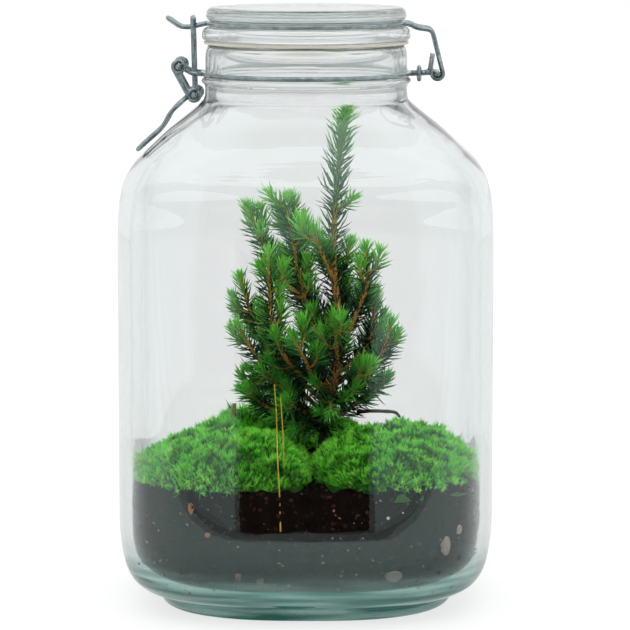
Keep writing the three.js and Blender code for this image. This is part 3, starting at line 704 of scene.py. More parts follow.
def potting_soil(name):
    """Peat: dark clods with brown fibres and fine grit, on the pale silt that water has washed down."""
    material, tree, place = new_material(name)
    height = add_node(tree, "SeparateXYZ", {"Vector": place}).outputs["Z"]
    clods = add_node(
        tree, "TexNoise", {"Vector": place, "Scale": per_mm(5), "Detail": 6.0, "Roughness": 0.7}
    )
    peat = add_node(tree, "Mix", {"Factor": clods, "A": "#050302", "B": "#22160f"}, data_type="RGBA")
    grit = add_node(tree, "TexVoronoi", {"Vector": place, "Scale": per_mm(1.4)}).outputs["Color"]
    chosen = add_node(tree, "MapRange", {"Value": grit, "From Min": 0.78, "From Max": 0.95})
    fibres = add_node(tree, "Mix", {"Factor": chosen, "A": peat, "B": "#4a2c1c"}, data_type="RGBA")
    silt = add_node(tree, "MapRange", {"Value": height, "From Min": 14 * MM, "From Max": 12.4 * MM})
    colour = add_node(tree, "Mix", {"Factor": silt, "A": fibres, "B": "#a9b4ab"}, data_type="RGBA")
    bump = add_node(tree, "Bump", {"Height": clods, "Strength": 0.9, "Distance": 1.2 * MM})
    finish = {"Base Color": colour, "Roughness": 0.9, "Specular IOR Level": 0.1, "Normal": bump}
    earth = add_node(tree, "BsdfPrincipled", finish)
    add_node(tree, "OutputMaterial", {"Surface": earth})
    return material


soil_material = potting_soil("potting_soil")
print("made", soil_material.name)

# %% [markdown]
# The soil's outside follows the inside of the jar, a little way off, and is dented by a sum of waves, so that
# it meets the glass unevenly. Sculpting could do that as well, but waves give the same soil at every run.
# Its top rises to the stem. Where it leans on the glass its edge creeps up a little, as soil does when it is
# pressed in. Loose crumbs come later, by scattering.

# %% The soil
SOIL_HEIGHT, SOIL_CROWN = 62.0, 8.0
STEM_X = 8.0
SOIL_GAP = 0.35
EDGE_RISE = 3.2


def flat(points):
    """The points laid down on the table."""
    return points * [1, 1, 0]


def waves(points, length, seed):
    """Smooth noise from about -1 to 1: the mean of 14 plane waves in random directions, `length` mm long."""
    random = np.random.default_rng(seed)
    count = 14
    ways = unit(random.normal(size=(count, 3))) * random.uniform(0.6, 1.8, (count, 1)) * 2 * np.pi / length
    phases = random.uniform(0, 2 * np.pi, count)
    return np.sin(points @ ways.T + phases).sum(-1) / math.sqrt(count)


def soil_top(x, y):
    """62 mm, and 8 mm more round the stem as a bell curve, with low swells."""
    bell = SOIL_CROWN * np.exp(-((x - STEM_X) ** 2 + y**2) / 34**2)
    return SOIL_HEIGHT + bell + np.sin(x / 9) * np.cos(y / 8)


inside_base = rounded([(INSIDE_HALF, 70, BODY_POWER)] + INSIDE_BASE, CORNER_REACH)[::-1]
inside_base = inside_base[1:-1] + [-SOIL_GAP, SOIL_GAP, 0]
wall_heights = np.linspace(inside_base[-1, 1], SOIL_HEIGHT + EDGE_RISE, 16)[1:]
wall_setback = np.clip((wall_heights - 61) / 5, 0, 1) ** 2 * 1.2
wall = np.stack([INSIDE_HALF - SOIL_GAP - wall_setback, wall_heights, 0 * wall_heights + BODY_POWER], -1)
shares = np.linspace(0.97, 0.04, 30)
top = np.stack([INSIDE_HALF * shares, 0 * shares, 2.6 + 0.6 * shares], -1)
soil_rings = plan_rings(np.vstack([inside_base, wall, top]), 224)
side_rows = len(inside_base) + len(wall)
side_rings, top_rings = soil_rings[:side_rows], soil_rings[side_rows:]

dents = np.clip(waves(side_rings, 9, 31) + 0.6 * waves(side_rings, 4, 32), 0, 2)
side_rings -= 0.7 * dents[..., None] * unit(flat(side_rings))
top_rings[..., 2] = soil_top(top_rings[..., 0], top_rings[..., 1])
top_rings[..., 2] += 0.9 * waves(flat(top_rings), 11, 33) + 0.5 * waves(flat(top_rings), 4, 34)
side_rings[-1, :, 2] += 2.0 * waves(flat(side_rings[-1]), 14, 35)
soil_shape = ring_surface(soil_rings, [[0, 0, FLOOR_HEIGHT + SOIL_GAP], [0, 0, float(soil_top(0, 0))]])
add_piece("soil_body", soil_shape, soil_material, replaced=["soil"])

# %% [markdown]
# Many small things have to be spread evenly over a surface: crumbs on the soil, tufts on the moss. A face
# is drawn with a chance in proportion to its area, and a random place on it is taken. Each small thing gets
# its own turn and size. Particles could spread them too, but those are no mesh until they are made real. So
# copies of one small form are made all at once, by one matrix product. What would reach into the glass is
# pressed back against its inside, as the real things are.

# %% Spreading small things


def scatter(shape, count, random, keep):
    """Random places on a surface and the directions that they face.

    keep says which face middles may carry anything. Two random numbers u and v, folded over where their sum
    passes 1, give the place a + u (b - a) + v (c - a) on a triangle.
    """
    points, faces = shape
    table = np.vstack([faces[0][:, pick] for pick in ([0, 1, 2], [0, 2, 3])])
    a, b, c = (points[table[:, i]] for i in range(3))
    normal = np.cross(b - a, c - a)
    area = np.linalg.norm(normal, axis=1) * keep((a + b + c) / 3)
    area = area * (area > 1e-9)
    chosen = random.choice(len(table), count, p=area / area.sum())
    u, v = random.random((2, count, 1))
    folded = u + v > 1
    u, v = np.where(folded, 1 - u, u), np.where(folded, 1 - v, v)
    a, b, c = a[chosen], b[chosen], c[chosen]
    return a + u * (b - a) + v * (c - a), unit(normal[chosen])


def copies(form, places, turns, sizes):
    """One form copied to many places: each copy is its own stretch, then its turn, then its place."""
    points, faces = form
    stretched = points[None] * np.asarray(sizes)[:, None, :]
    placed = np.einsum("nij,nkj->nki", turns, stretched) + places[:, None]
    start = (np.arange(len(places)) * len(points))[:, None, None]
    tables = [(table[None] + start).reshape(-1, table.shape[1]) for table in faces]
    return placed.reshape(-1, 3), tables


def held_inside(shape, room):
    """Moves points that would enter the glass back to `room` mm inside it, straight towards the axis."""
    points, faces = shape
    half = np.interp(points[:, 2], inside_base[:, 1], inside_base[:, 0]) + SOIL_GAP
    scale = np.minimum(1, (half - room) / np.maximum(plan_half(points[:, 0], points[:, 1]), 1e-6))
    return points * np.stack([scale, scale, np.ones_like(scale)], -1), faces


print("the soil's surface has", len(soil_shape[1][0]), "faces to carry small things")

# %% [markdown]
# Moss grows as a dense cushion of upright shoots, each one wrapped in narrow leaves. From a step away one
# sees a soft dome with a fine bright pile and dark gaps deep between the shoots. So a cushion is made in
# two layers: a dark dome of old growth with low swells, whose dark colour is also painted shade for those
# gaps, and thousands of small tufts that stand on it. Its leaves are dark at the foot, bright at the tip,
# and yellower in some tufts than in others. The dark foot is partly painted shade, and the tips are
# brighter on the crests of a slow wave and towards the left and right walls, which is painted light.

# %% Moss colours


def moss_material(name, old, young, dry):
    """From the old colour to the young one along tip * vigour, where vigour is cloudy noise 9 mm across."""
    material, tree, place = new_material(name)
    tip = add_node(tree, "Attribute", attribute_name="tip").outputs["Fac"]
    shade = add_node(tree, "Attribute", attribute_name="shade").outputs["Fac"]
    bright = add_node(tree, "Mix", {"Factor": shade, "A": young, "B": dry}, data_type="RGBA")
    patches = add_node(tree, "TexNoise", {"Vector": place, "Scale": per_mm(9), "Detail": 2.0})
    vigour = add_node(
        tree,
        "MapRange",
        {"Value": patches, "From Min": 0.36, "From Max": 0.64, "To Min": 0.3, "To Max": 0.8},
    )
    growth = add_node(tree, "Math", {0: tip, 1: vigour}, operation="MULTIPLY")
    share = add_node(tree, "MapRange", {"Value": growth, "From Min": 0.06, "From Max": 0.36})
    colour = add_node(tree, "Mix", {"Factor": share, "A": old, "B": bright}, data_type="RGBA")
    leaf = add_node(tree, "BsdfPrincipled", {"Base Color": colour, "Roughness": 0.55, "IOR": 1.4})
    add_node(tree, "OutputMaterial", {"Surface": leaf})
    return material


moss_leaves = moss_material("cushion_moss_leaves", "#0d480b", "#b0ff5c", "#5ee23a")
# the thatch is old growth, and its dark colour is also painted shade deep between the shoots
old_moss_and_shade = moss_material("old_moss_thatch", "#123008", "#2a6412", "#2f5a14")
print("made", moss_leaves.name, "and", old_moss_and_shade.name)

# %% [markdown]
# A cushion is an ellipse that is cut off by the glass, by a ring of bare soil round the stem, and by straight
# lines where it meets its neighbours. Cutting solids with one another could give that form, but would leave
# ragged faces. So its edge is found by feeling outwards from its middle at every angle.

# %% The domes of moss
STEM_ROOM, GLASS_ROOM, DOME_SUNK = 9.0, 0.7, 1.2
# each straight line keeps what lies at nx * x + ny * y <= offset
CUSHIONS = {
    "moss_left": {
        "middle": (-38.0, -34.0),
        "reach": (48.0, 50.0),
        "crown": 83.0,
        "lines": [(1, 0, 2), (0, 1, 5)],
    },
    "moss_right": {
        "middle": (44.0, -26.0),
        "reach": (42.0, 58.0),
        "crown": 84.5,
        "lines": [(-1, 0, -2.6), (-0.45, 0.893, 2)],
    },
    "moss_back": {
        "middle": (-15.0, 42.0),
        "reach": (50.0, 44.0),
        "crown": 79.5,
        "lines": [(0, -1, -5.6), (0.45, -0.893, -2.6)],
    },
}


def in_cushion(cushion, x, y):
    """Inside the cushion's ellipse, clear of the glass and the stem, and behind its straight edges."""
    (mx, my), (rx, ry) = cushion["middle"], cushion["reach"]
    inside = ((x - mx) / rx) ** 2 + ((y - my) / ry) ** 2 <= 1
    inside &= plan_half(x, y) <= INSIDE_HALF - GLASS_ROOM
    inside &= np.hypot(x - STEM_X, y) >= STEM_ROOM
    for nx, ny, offset in cushion["lines"]:
        inside &= nx * x + ny * y <= offset
    return inside


def cushion_reach(cushion, angle):
    """How far the cushion reaches from its middle, by halving the doubt twenty times."""
    mx, my = cushion["middle"]
    near, far = np.zeros_like(angle), np.full_like(angle, 2 * BODY_HALF)
    for _ in range(20):
        half = (near + far) / 2
        inside = in_cushion(cushion, mx + half * np.cos(angle), my + half * np.sin(angle))
        near, far = np.where(inside, half, near), np.where(inside, far, half)
    return near


def cushion_height(cushion, share):
    """foot + (crown - foot) * sqrt(1 - share^2.3): a dome that is steep at its edge."""
    foot = SOIL_HEIGHT - 1
    return foot + (cushion["crown"] - foot) * np.sqrt(1 - np.minimum(share, 1) ** 2.3)


def dome(cushion, seed):
    """The cushion as rings from its foot to its crown, with swells 15 mm and 6 mm long."""
    mx, my = cushion["middle"]
    angle = steps_round(120)[None]
    share = np.linspace(1, 0.02, 40)[:, None] ** 0.6
    reach = share * cushion_reach(cushion, angle)
    x, y = mx + reach * np.cos(angle), my + reach * np.sin(angle)
    rings = np.stack([x, y, cushion_height(cushion, share) + 0 * x - DOME_SUNK], -1)
    swell = 1.9 * waves(flat(rings), 15, seed) + 1.2 * waves(flat(rings), 6, seed + 1)
    rings[..., 2] += swell * np.sqrt(1 - share**3)
    foot = rings[:1] * [0.98, 0.98, 1] - [0, 0, 1.5]
    poles = [[mx, my, foot[0, 0, 2]], [mx, my, rings[-1, :, 2].mean()]]
    return ring_surface(np.concatenate([foot, rings]), poles)


domes = {name: dome(cushion, 40 + 2 * number) for number, (name, cushion) in enumerate(CUSHIONS.items())}
for name, ground in domes.items():
    print(name, "rises to", round(float(ground[0][:, 2].max()), 1), "mm")

# %% [markdown]
# A tuft is a handful of slim spikes that stand round one shoot, some upright and some bent outwards. Each
# spike is a three-sided pyramid, so that a tuft costs under forty faces. Its points carry two numbers for the
# material: how near they are to the tip, raised as painted light on the crests of a slow wave and towards the
# left and right walls, and a shade of their own for each tuft, yellower on those crests. Along the glass,
# where the moss is moist, longer shoots spread out like stars. Round the peg of bark it grows taller, as moss
# does.

# %% Tufts
TUFTS, STARS = 5500, 110
PEG_PLACE, PEG_MOSS_REACH = np.array([-32.0, 28.0]), math.sqrt(260)


def tuft_form(seed, spikes, width, spread):
    """Spikes from the origin, leaning out by up to `spread` radians, and 0.55 to 0.8 long."""
    random = np.random.default_rng(seed)
    turn = 2.4 * np.arange(spikes)
    lean = np.linspace(0.08, spread, spikes)
    way = np.stack([np.sin(lean) * np.cos(turn), np.sin(lean) * np.sin(turn), np.cos(lean)], -1)
    across = unit(np.cross(way, [0.2, 0.3, 0.93]))
    other = np.cross(way, across)
    root = way * 0.05 + np.array([0, 0, 1]) * np.linspace(0.5, 0.0, spikes)[:, None]
    angle = steps_round(3)[None, :, None]
    base = root[:, None] + width / 2 * (np.cos(angle) * across[:, None] + np.sin(angle) * other[:, None])
    tip = root + way * random.uniform(0.55, 0.8, (spikes, 1))
    points = np.concatenate([base, tip[:, None]], 1).reshape(-1, 3)
    one = np.array([[0, 2, 1], [0, 1, 3], [1, 2, 3], [2, 0, 3]])
    faces = (one[None] + 4 * np.arange(spikes)[:, None, None]).reshape(-1, 3)
    return points, [faces]


def grow(ground, form, count, length, random, keep, rise):
    """Copies of a tuft on the ground, with their numbers for the material.

    Each stands along its face's direction plus `rise` upwards, plus a random lean. Round the peg it grows
    1 + 1.7 * exp(-(distance / reach)^2) times as tall. As painted light, tips are brighter and yellower on
    the crests of a slow wave, and brighter towards the left and right walls.
    """
    places, facing = scatter(ground, count, random, keep)
    upright = unit(facing + [0, 0, rise] + 0.25 * random.normal(size=facing.shape))
    across = unit(np.cross(upright, random.normal(size=upright.shape)))
    turns = np.stack([across, np.cross(upright, across), upright], -1)
    from_peg = np.linalg.norm(places[:, :2] - PEG_PLACE, axis=1)
    taller = 1 + 1.7 * np.exp(-((from_peg / PEG_MOSS_REACH) ** 2))
    size = random.uniform(*length, (count, 1)) * taller[:, None] * [0.75, 0.75, 1]
    # painted light: tips on the crests of a slow wave are brighter and yellower, those in its troughs darker
    # and greener
    crest_light = 0.5 + 0.5 * waves(flat(places), 6, 75)
    shade = np.clip(0.55 * random.random(count) + 0.6 * (1 - crest_light), 0, 1)
    along = np.clip(form[0][:, 2] / form[0][:, 2].max(), 0, 1)
    # painted light: tufts towards the left and right walls get brighter tips
    light_by_the_glass = np.clip((np.abs(places[:, 0]) - 42) / 26, 0, 1)
    tip = np.clip(along[None] * (0.6 + 0.6 * crest_light + 0.45 * light_by_the_glass)[:, None], 0, 1)
    values = {"tip": tip.ravel(), "shade": np.repeat(shade, len(along))}
    return held_inside(copies(form, places - 0.6 * upright, turns, size), 0.25), values


def on_top(middle):
    """Above the cushion's foot."""
    return middle[:, 2] > SOIL_HEIGHT + 2


def at_the_edge(middle):
    """Low on the cushion and close to the glass."""
    by_the_wall = plan_half(middle[:, 0], middle[:, 1]) > INSIDE_HALF - 6
    return on_top(middle) & (middle[:, 2] < SOIL_HEIGHT + 10) & by_the_wall


for number, (name, ground) in enumerate(domes.items()):
    # the dark dome: old growth, and painted shade between the tufts
    old_growth_and_shade = {"tip": np.ones(len(ground[0])), "shade": np.zeros(len(ground[0]))}
    add_piece(f"{name}_thatch", ground, old_moss_and_shade, replaced=[name], values=old_growth_and_shade)
    random = np.random.default_rng(60 + number)
    tuft, star = tuft_form(70 + number, 8, 0.17, 1.05), tuft_form(80 + number, 13, 0.13, 1.4)
    pile, values = grow(ground, tuft, TUFTS, (2.2, 4.2), random, on_top, 0.5)
    add_piece(f"{name}_tufts", pile, moss_leaves, smooth=False, values=values)
    pile, values = grow(ground, star, STARS, (5.5, 8.0), random, at_the_edge, -0.1)
    add_piece(f"{name}_stars", pile, moss_leaves, smooth=False, values=values)

# %% [markdown]
# The spruce is a seedling: one leading shoot and 25 side shoots that all turn upwards. The solid of the same
# plant gives each shoot as a few points from its root to its tip, and a smooth line goes through them.

# %% The shoots
STEM = [
    (8, 0, 48),
    (8, 0, 74),
    (14, 0, 104),
    (17.5, 0, 124),
    (15.6, 0, 140),
    (13.4, 0, 156),
    (13.6, 0, 180),
    (15, 0, 202),
    (17.4, 0, 219),
    (20.2, 0, 236),
]
SHOOTS = [
    [(15, 0, 187), (19.5, -1, 190), (22.8, -2, 194.5)],
    [(13.4, 0, 153), (9, -7, 164), (3.4, -11, 180)],
    [(16, 0, 112), (3.2, -3, 133), (-3.8, -5, 160), (-8.4, -6, 184), (-17.4, -6, 197)],
    [(-3.8, -5, 160), (-5, 3, 174), (-7.4, 8, 194)],
    [(-1, -4, 144), (-15, 4, 158), (-23.4, 8, 176), (-29.4, 9, 189)],
    [(12, 0, 98), (-8, -10, 114), (-15.4, -17, 133), (-17.4, -19, 150), (-17.8, -20, 169)],
    [(10, 0, 92), (-14, 4, 116), (-26, 6, 134), (-33, 7, 154)],
    [(9, 0, 84), (-12, -5, 101), (-25, -10, 119), (-33.4, -12, 133)],
    [(13, 0, 99), (4, -14, 108), (-1, -22, 119), (-6, -26, 129)],
    [(17, 0, 120), (23.8, -5, 136), (29.6, -8, 152), (29, -9, 171)],
    [(15, 0, 108), (28, 6, 118), (32.8, 9, 132), (34.4, 10, 146)],
    [(10, 0, 90), (28, -4, 103), (38, -6, 120), (41.6, -7, 134)],
    [(9, 0, 86), (-4, -12, 92), (-8, -23, 99)],
    [(9, 0, 88), (12, -14, 96), (12, -24, 93)],
    [(9, 0, 84), (-14, 3, 96), (-29, 7, 109)],
    [(8, 0, 82), (-16, -2, 90), (-32, -3, 100)],
    [(15, 0, 116), (6, 14, 130), (-8, 21, 148), (-12, 25, 166)],
    [(16, 0, 128), (18, 10, 142), (19, 19, 158)],
    [(13, 0, 98), (6, 18, 108), (2, 28, 126)],
    [(14, 0, 102), (26, 14, 112), (31, 22, 128)],
    [(9, 0, 88), (-8, 14, 102), (-22, 22, 118), (-26, 25, 134)],
    [(9, 0, 86), (8, 18, 96), (6, 29, 106)],
    [(15, 0, 110), (15, -14, 120), (14, -25, 138)],
    [(11, 0, 94), (22, -14, 102), (28, -22, 116)],
    [(9, 0, 84), (24, 6, 92), (36, 9, 104)],
]
STEM_RADII, SHOOT_RADII, TWIG_RADII = (2.7, 0.9), (1.25, 0.75), (0.75, 0.55)
print("side shoots:", len(SHOOTS))

# %% [markdown]
# A stem grows in one smooth line, and straight lengths between the points would look broken. So a row of
# cubics goes through all of them. It is read off at even steps, which lets the needles be spaced in
# millimetres later.

# %% A smooth line through points


def read_between(table, known, wanted):
    """The rows of a table at places between its own, each column in straight lines by itself."""
    return np.stack([np.interp(wanted, known, column) for column in table.T], -1)


def smooth_line(points, step=1.5):
    """A curve through the points, read off at even steps.

    Each stretch between two points is a cubic. Its slopes at both ends come from the points on either side,
    weighted by the square root of their distance, so that the curve never loops back.
    """
    points = np.asarray(points, float)
    padded = np.vstack([2 * points[0] - points[1], points, 2 * points[-1] - points[-2]])
    p0, p1, p2, p3 = (padded[i : len(padded) - 3 + i, None] for i in range(4))
    pairs = ((p0, p1), (p1, p2), (p2, p3))
    d0, d1, d2 = (np.linalg.norm(b - a, axis=-1, keepdims=True) ** 0.5 for a, b in pairs)
    m1 = (p2 - p1) + d1 * ((p1 - p0) / d0 - (p2 - p0) / (d0 + d1))
    m2 = (p2 - p1) + d1 * ((p3 - p2) / d2 - (p3 - p1) / (d1 + d2))
    t = np.linspace(0, 1, 24)[None, :, None]
    dense = p1 + m1 * t + (3 * (p2 - p1) - 2 * m1 - m2) * t**2 + (2 * (p1 - p2) + m1 + m2) * t**3
    dense = dense.reshape(-1, 3)
    along = np.r_[0, np.cumsum(np.linalg.norm(np.diff(dense, axis=0), axis=1))]
    even = np.linspace(0, along[-1], max(4, round(along[-1] / step)))
    return read_between(dense, along, even)


def length_of(path):
    """The sum of the distances from point to point."""
    return np.linalg.norm(np.diff(path, axis=0), axis=1).sum()


lines = [smooth_line(STEM)] + [smooth_line(points) for points in SHOOTS]
radii = [STEM_RADII] + [SHOOT_RADII] * len(SHOOTS)
print("shoots:", len(lines), "with", round(sum(map(length_of, lines))), "mm of stem in all")

# %% [markdown]
# Short side twigs fill the bush between the shoots. Eight of them have a place of their own. The rest are
# placed by a seeded rule, one for every 13 mm of a longer shoot. They lean forward by about 45 degrees, and
# curve up to the light.

# %% Side twigs
INNER_TWIGS = [
    [(13.4, 0, 150), (11, 12, 160), (5, 16, 176)],
    [(16, 0, 128), (4, 11, 139), (-1, 14, 156)],
    [(17, 0, 122), (20, 12, 132), (17, 15, 150)],
    [(14, 0, 104), (10, 13, 118), (12, 15, 136)],
    [(14, 0, 150), (19, 6, 160), (21, 8, 172)],
    [(8, 0, 78), (2, -9, 84), (-5, -17, 84)],
    [(8, 0, 80), (11, -10, 84), (16, -19, 87)],
    [(8, 0, 82), (9, -12, 88), (7, -21, 92)],
]
TWIG_SPACING = 13
twig_random = np.random.default_rng(7)


def side_twigs(line, count):
    """Short curved twigs: each goes out from the shoot and turns towards +Z along its length."""
    tangent, side, other = frames_along(line)
    share = np.linspace(0.3, 0.8, count) + twig_random.uniform(-0.05, 0.05, count)
    index = (share * (len(line) - 1)).astype(int)
    turn = twig_random.uniform(0, 2 * np.pi, (count, 1))
    out = np.cos(turn) * side[index] + np.sin(turn) * other[index]
    length = twig_random.uniform(9, 16, (count, 1))
    root = line[index]
    middle = root + 0.5 * length * unit(out + 0.9 * tangent[index])
    tip = middle + 0.5 * length * unit(0.35 * out + tangent[index] + [0, 0, 0.6])
    return list(np.stack([root, middle, tip], 1))


twigs = list(INNER_TWIGS)
for line in lines[1:]:
    if length_of(line) > 30:
        twigs += side_twigs(line, max(2, round(length_of(line) / TWIG_SPACING)))
lines += [smooth_line(points) for points in twigs]
radii += [TWIG_RADII] * len(twigs)
print("side twigs:", len(twigs))

# %% [markdown]
# Bark on young spruce is orange-brown and ridged where each needle sits. It turns dark and dull with age, and
# this year's growth at the top is still green. Two numbers on each point say how old the wood is there, and
# whether it is this year's.

# %% Bark and stems


def spruce_bark(name):
    """Orange-brown young bark that turns dark with age, with scales about 1.5 mm long."""
    material, tree, place = new_material(name)
    age = add_node(tree, "Attribute", attribute_name="age").outputs["Fac"]
    this_year = add_node(tree, "Attribute", attribute_name="this_year").outputs["Fac"]
    patches = add_node(tree, "TexNoise", {"Vector": place, "Scale": per_mm(5), "Detail": 3.0})
    young = add_node(tree, "Mix", {"Factor": patches, "A": "#b0742c", "B": "#e8b25c"}, data_type="RGBA")
    green = add_node(tree, "Mix", {"Factor": this_year, "A": young, "B": "#7f9a4c"}, data_type="RGBA")
    colour = add_node(tree, "Mix", {"Factor": age, "A": green, "B": "#3a2412"}, data_type="RGBA")
    scales = add_node(tree, "TexVoronoi", {"Vector": place, "Scale": per_mm(1.5)}).outputs["Distance"]
    bump = add_node(tree, "Bump", {"Height": scales, "Strength": 0.6, "Distance": 0.3 * MM})
    bark = add_node(tree, "BsdfPrincipled", {"Base Color": colour, "Roughness": 0.6, "Normal": bump})
    add_node(tree, "OutputMaterial", {"Surface": bark})
    return material


def age_at(points):
    """Old wood low in the bush and near its middle line, young wood high up and far out."""
    height = np.clip((120 - points[:, 2]) / 45, 0, 1)
    inner = np.clip(1 - np.hypot(points[:, 0] - STEM_X, points[:, 1]) / 24, 0, 1)
    return np.clip(0.95 * height * (0.4 + inner), 0, 1)


stems = [tube(line, np.linspace(*ends, len(line)), 8) for line, ends in zip(lines, radii)]
stem_shape = join(stems)
this_year = np.clip((stem_shape[0][:, 2] - 178) / 16, 0, 1)
values = {"age": age_at(stem_shape[0]), "this_year": this_year}
young_bark = spruce_bark("young_spruce_bark")
add_piece("spruce_stems", stem_shape, young_bark, replaced=["spruce"], values=values)

# %% [markdown]
# Needles stand all round a shoot, about four to a millimetre, and each one is turned by the golden angle
# from the last, so that no two stand in line. The lean and the length of a needle change towards the tip,
# where a tuft of new ones closes over the bud. The needles are about 9 to 12 mm long, and longest high up
# and deep inside the bush.

# %% Where needles stand
SHORT_NEEDLE, LONG_NEEDLE = 9.2, 11.8
NEEDLE_SPACING = 0.27
GOLDEN_ANGLE = math.radians(137.5)
STEM_BARE, SHOOT_BARE = 52, 12
LEADER_TUFT, SHOOT_TUFT = 150, 14
needle_random = np.random.default_rng(5)


def needle_places(line, bare, closing):
    """For one shoot: feet, directions, the shoot's own direction, lengths, and nearness to the tip.

    to_tip goes from 0 at the tip to 1 from 14 mm below it. A needle leans from its shoot by
    0.45 + 0.6 * to_tip^0.7 radians, give or take 0.18. The last `closing` needles lean less and are shorter.
    """
    total = length_of(line)
    head = np.linspace(max(total - 0.16 * closing, bare), total - 0.5, closing)
    along = np.r_[np.arange(bare, total - 0.8, NEEDLE_SPACING), head]
    count, rows = len(along), np.arange(len(line))
    share = along / total * (len(line) - 1)
    parts = (line, *frames_along(line))
    feet, forward, side, other = (read_between(part, rows, share) for part in parts)
    forward = unit(forward)
    to_tip = np.clip((total - along) / 14, 0, 1)
    turn = (GOLDEN_ANGLE * np.arange(count) + needle_random.uniform(0, 6))[:, None]
    lean = 0.45 + 0.6 * to_tip**0.7 + needle_random.normal(0, 0.18, count)
    lean[-closing:] = needle_random.uniform(0.05, 0.55 + 0.003 * closing, closing)
    out = np.cos(turn) * side + np.sin(turn) * other
    way = unit(np.sin(lean)[:, None] * out + np.cos(lean)[:, None] * forward)
    high_up = (feet[:, 2] - 130) / 60
    inside = (36 - np.abs(feet[:, 0] - 6)) / 16
    long = np.clip(np.maximum(high_up, inside), 0, 1)
    length = (SHORT_NEEDLE + (LONG_NEEDLE - SHORT_NEEDLE) * long) * needle_random.uniform(0.8, 1.1, count)
    length *= 0.8 + 0.2 * to_tip
    length[-closing:] *= 0.72
    return feet, way, forward, length, to_tip


def moss_height(points):
    """The top of the moss or soil under each point."""
    x, y = points[:, 0], points[:, 1]
    highest = soil_top(x, y)
    for cushion in CUSHIONS.values():
        mx, my = cushion["middle"]
        reach = cushion_reach(cushion, np.arctan2(y - my, x - mx))
        share = np.hypot(x - mx, y - my) / reach
        highest = np.maximum(highest, np.where(share < 1, cushion_height(cushion, share), 0))
    return highest


bare_lengths = [STEM_BARE] + [min(SHOOT_BARE, 0.22 * length_of(line)) for line in lines[1:]]
tufts = [LEADER_TUFT] + [SHOOT_TUFT] * (len(lines) - 1)
grown = [needle_places(line, bare, closing) for line, bare, closing in zip(lines, bare_lengths, tufts)]
grown = [np.concatenate(parts) for parts in zip(*grown)]
feet, tips = grown[0], grown[0] + grown[1] * grown[3][:, None]
clear = (tips[:, 2] > moss_height(tips) + 1) & (feet[:, 2] > moss_height(feet) + 0.5)
feet, way, forward, length, to_tip = (part[clear] for part in grown)
print("needles:", len(feet), "of", len(clear), "clear of the moss")

# %% [markdown]
# A needle is a three-sided spindle that bends a little towards the shoot's own direction. Hair would look
# much the same, but a spindle is a closed mesh and can carry its own colour. Three rings of three points and
# a tip are enough for it, because it is about a millimetre wide or less.

# %% The form of a needle
NEEDLE_WIDTH = 0.75
needle_width = NEEDLE_WIDTH * needle_random.uniform(0.85, 1.2, len(feet))


def needle_shape(feet, way, forward, length, width):
    """Spindles made of rings at t = 0, 0.35 and 0.72 and a tip at t = 1.

    They stand on the line foot + length * (t * way + 0.16 * t^2 * (forward - way)).
    """
    across = unit(np.cross(way, forward + 0.01))
    other = np.cross(way, across)
    t = np.array([0.0, 0.35, 0.72, 1.0])[None, :, None]
    broad = np.array([0.7, 1.0, 0.72])[None, :, None, None]
    bend = 0.16 * t**2 * (forward - way)[:, None]
    line = feet[:, None] + length[:, None, None] * (t * way[:, None] + bend)
    angle = steps_round(3)[None, None, :, None]
    circle = np.cos(angle) * across[:, None, None] + np.sin(angle) * other[:, None, None]
    rings = line[:, :3, None] + 0.5 * width[:, None, None, None] * broad * circle
    points = np.concatenate([rings.reshape(len(feet), 9, 3), line[:, 3:]], 1)
    ends = np.array([[0, 2, 1], [6, 7, 9], [7, 8, 9], [8, 6, 9]])
    start = (10 * np.arange(len(feet)))[:, None, None]
    quads = bands(np.arange(9).reshape(3, 3))
    return points.reshape(-1, 3), [(quads + start).reshape(-1, 4), (ends + start).reshape(-1, 3)]


foliage = needle_shape(feet, way, forward, length, needle_width)
print("points in the foliage:", len(foliage[0]))

# %% [markdown]
# Needles are waxy. New ones at the tips are a bright yellow-green, and older ones a deep blue-green. Deep in
# the bush, low down and near the stem, they are made older and darker, which is painted shade, while the
# whole head of the leading shoot is new. Each needle gets two numbers, how fresh it is and a shade of their
# own, and both rise a little to its point.

# %% Foliage


def spruce_needles(name):
    """Between old and new by freshness, and in each between a dark and a light colour by shade."""
    material, tree, _ = new_material(name)
    fresh = add_node(tree, "Attribute", attribute_name="fresh").outputs["Fac"]
    shade = add_node(tree, "Attribute", attribute_name="shade").outputs["Fac"]
    old = add_node(tree, "Mix", {"Factor": shade, "A": "#052616", "B": "#176238"}, data_type="RGBA")
    new = add_node(tree, "Mix", {"Factor": shade, "A": "#46b436", "B": "#98e65a"}, data_type="RGBA")
    colour = add_node(tree, "Mix", {"Factor": fresh, "A": old, "B": new}, data_type="RGBA")
    needle = add_node(tree, "BsdfPrincipled", {"Base Color": colour, "Roughness": 0.42, "IOR": 1.45})
    add_node(tree, "OutputMaterial", {"Surface": needle})
    return material


height = np.clip((feet[:, 2] - 95) / 110, 0, 1)
low_down = np.clip((165 - feet[:, 2]) / 50, 0, 1)
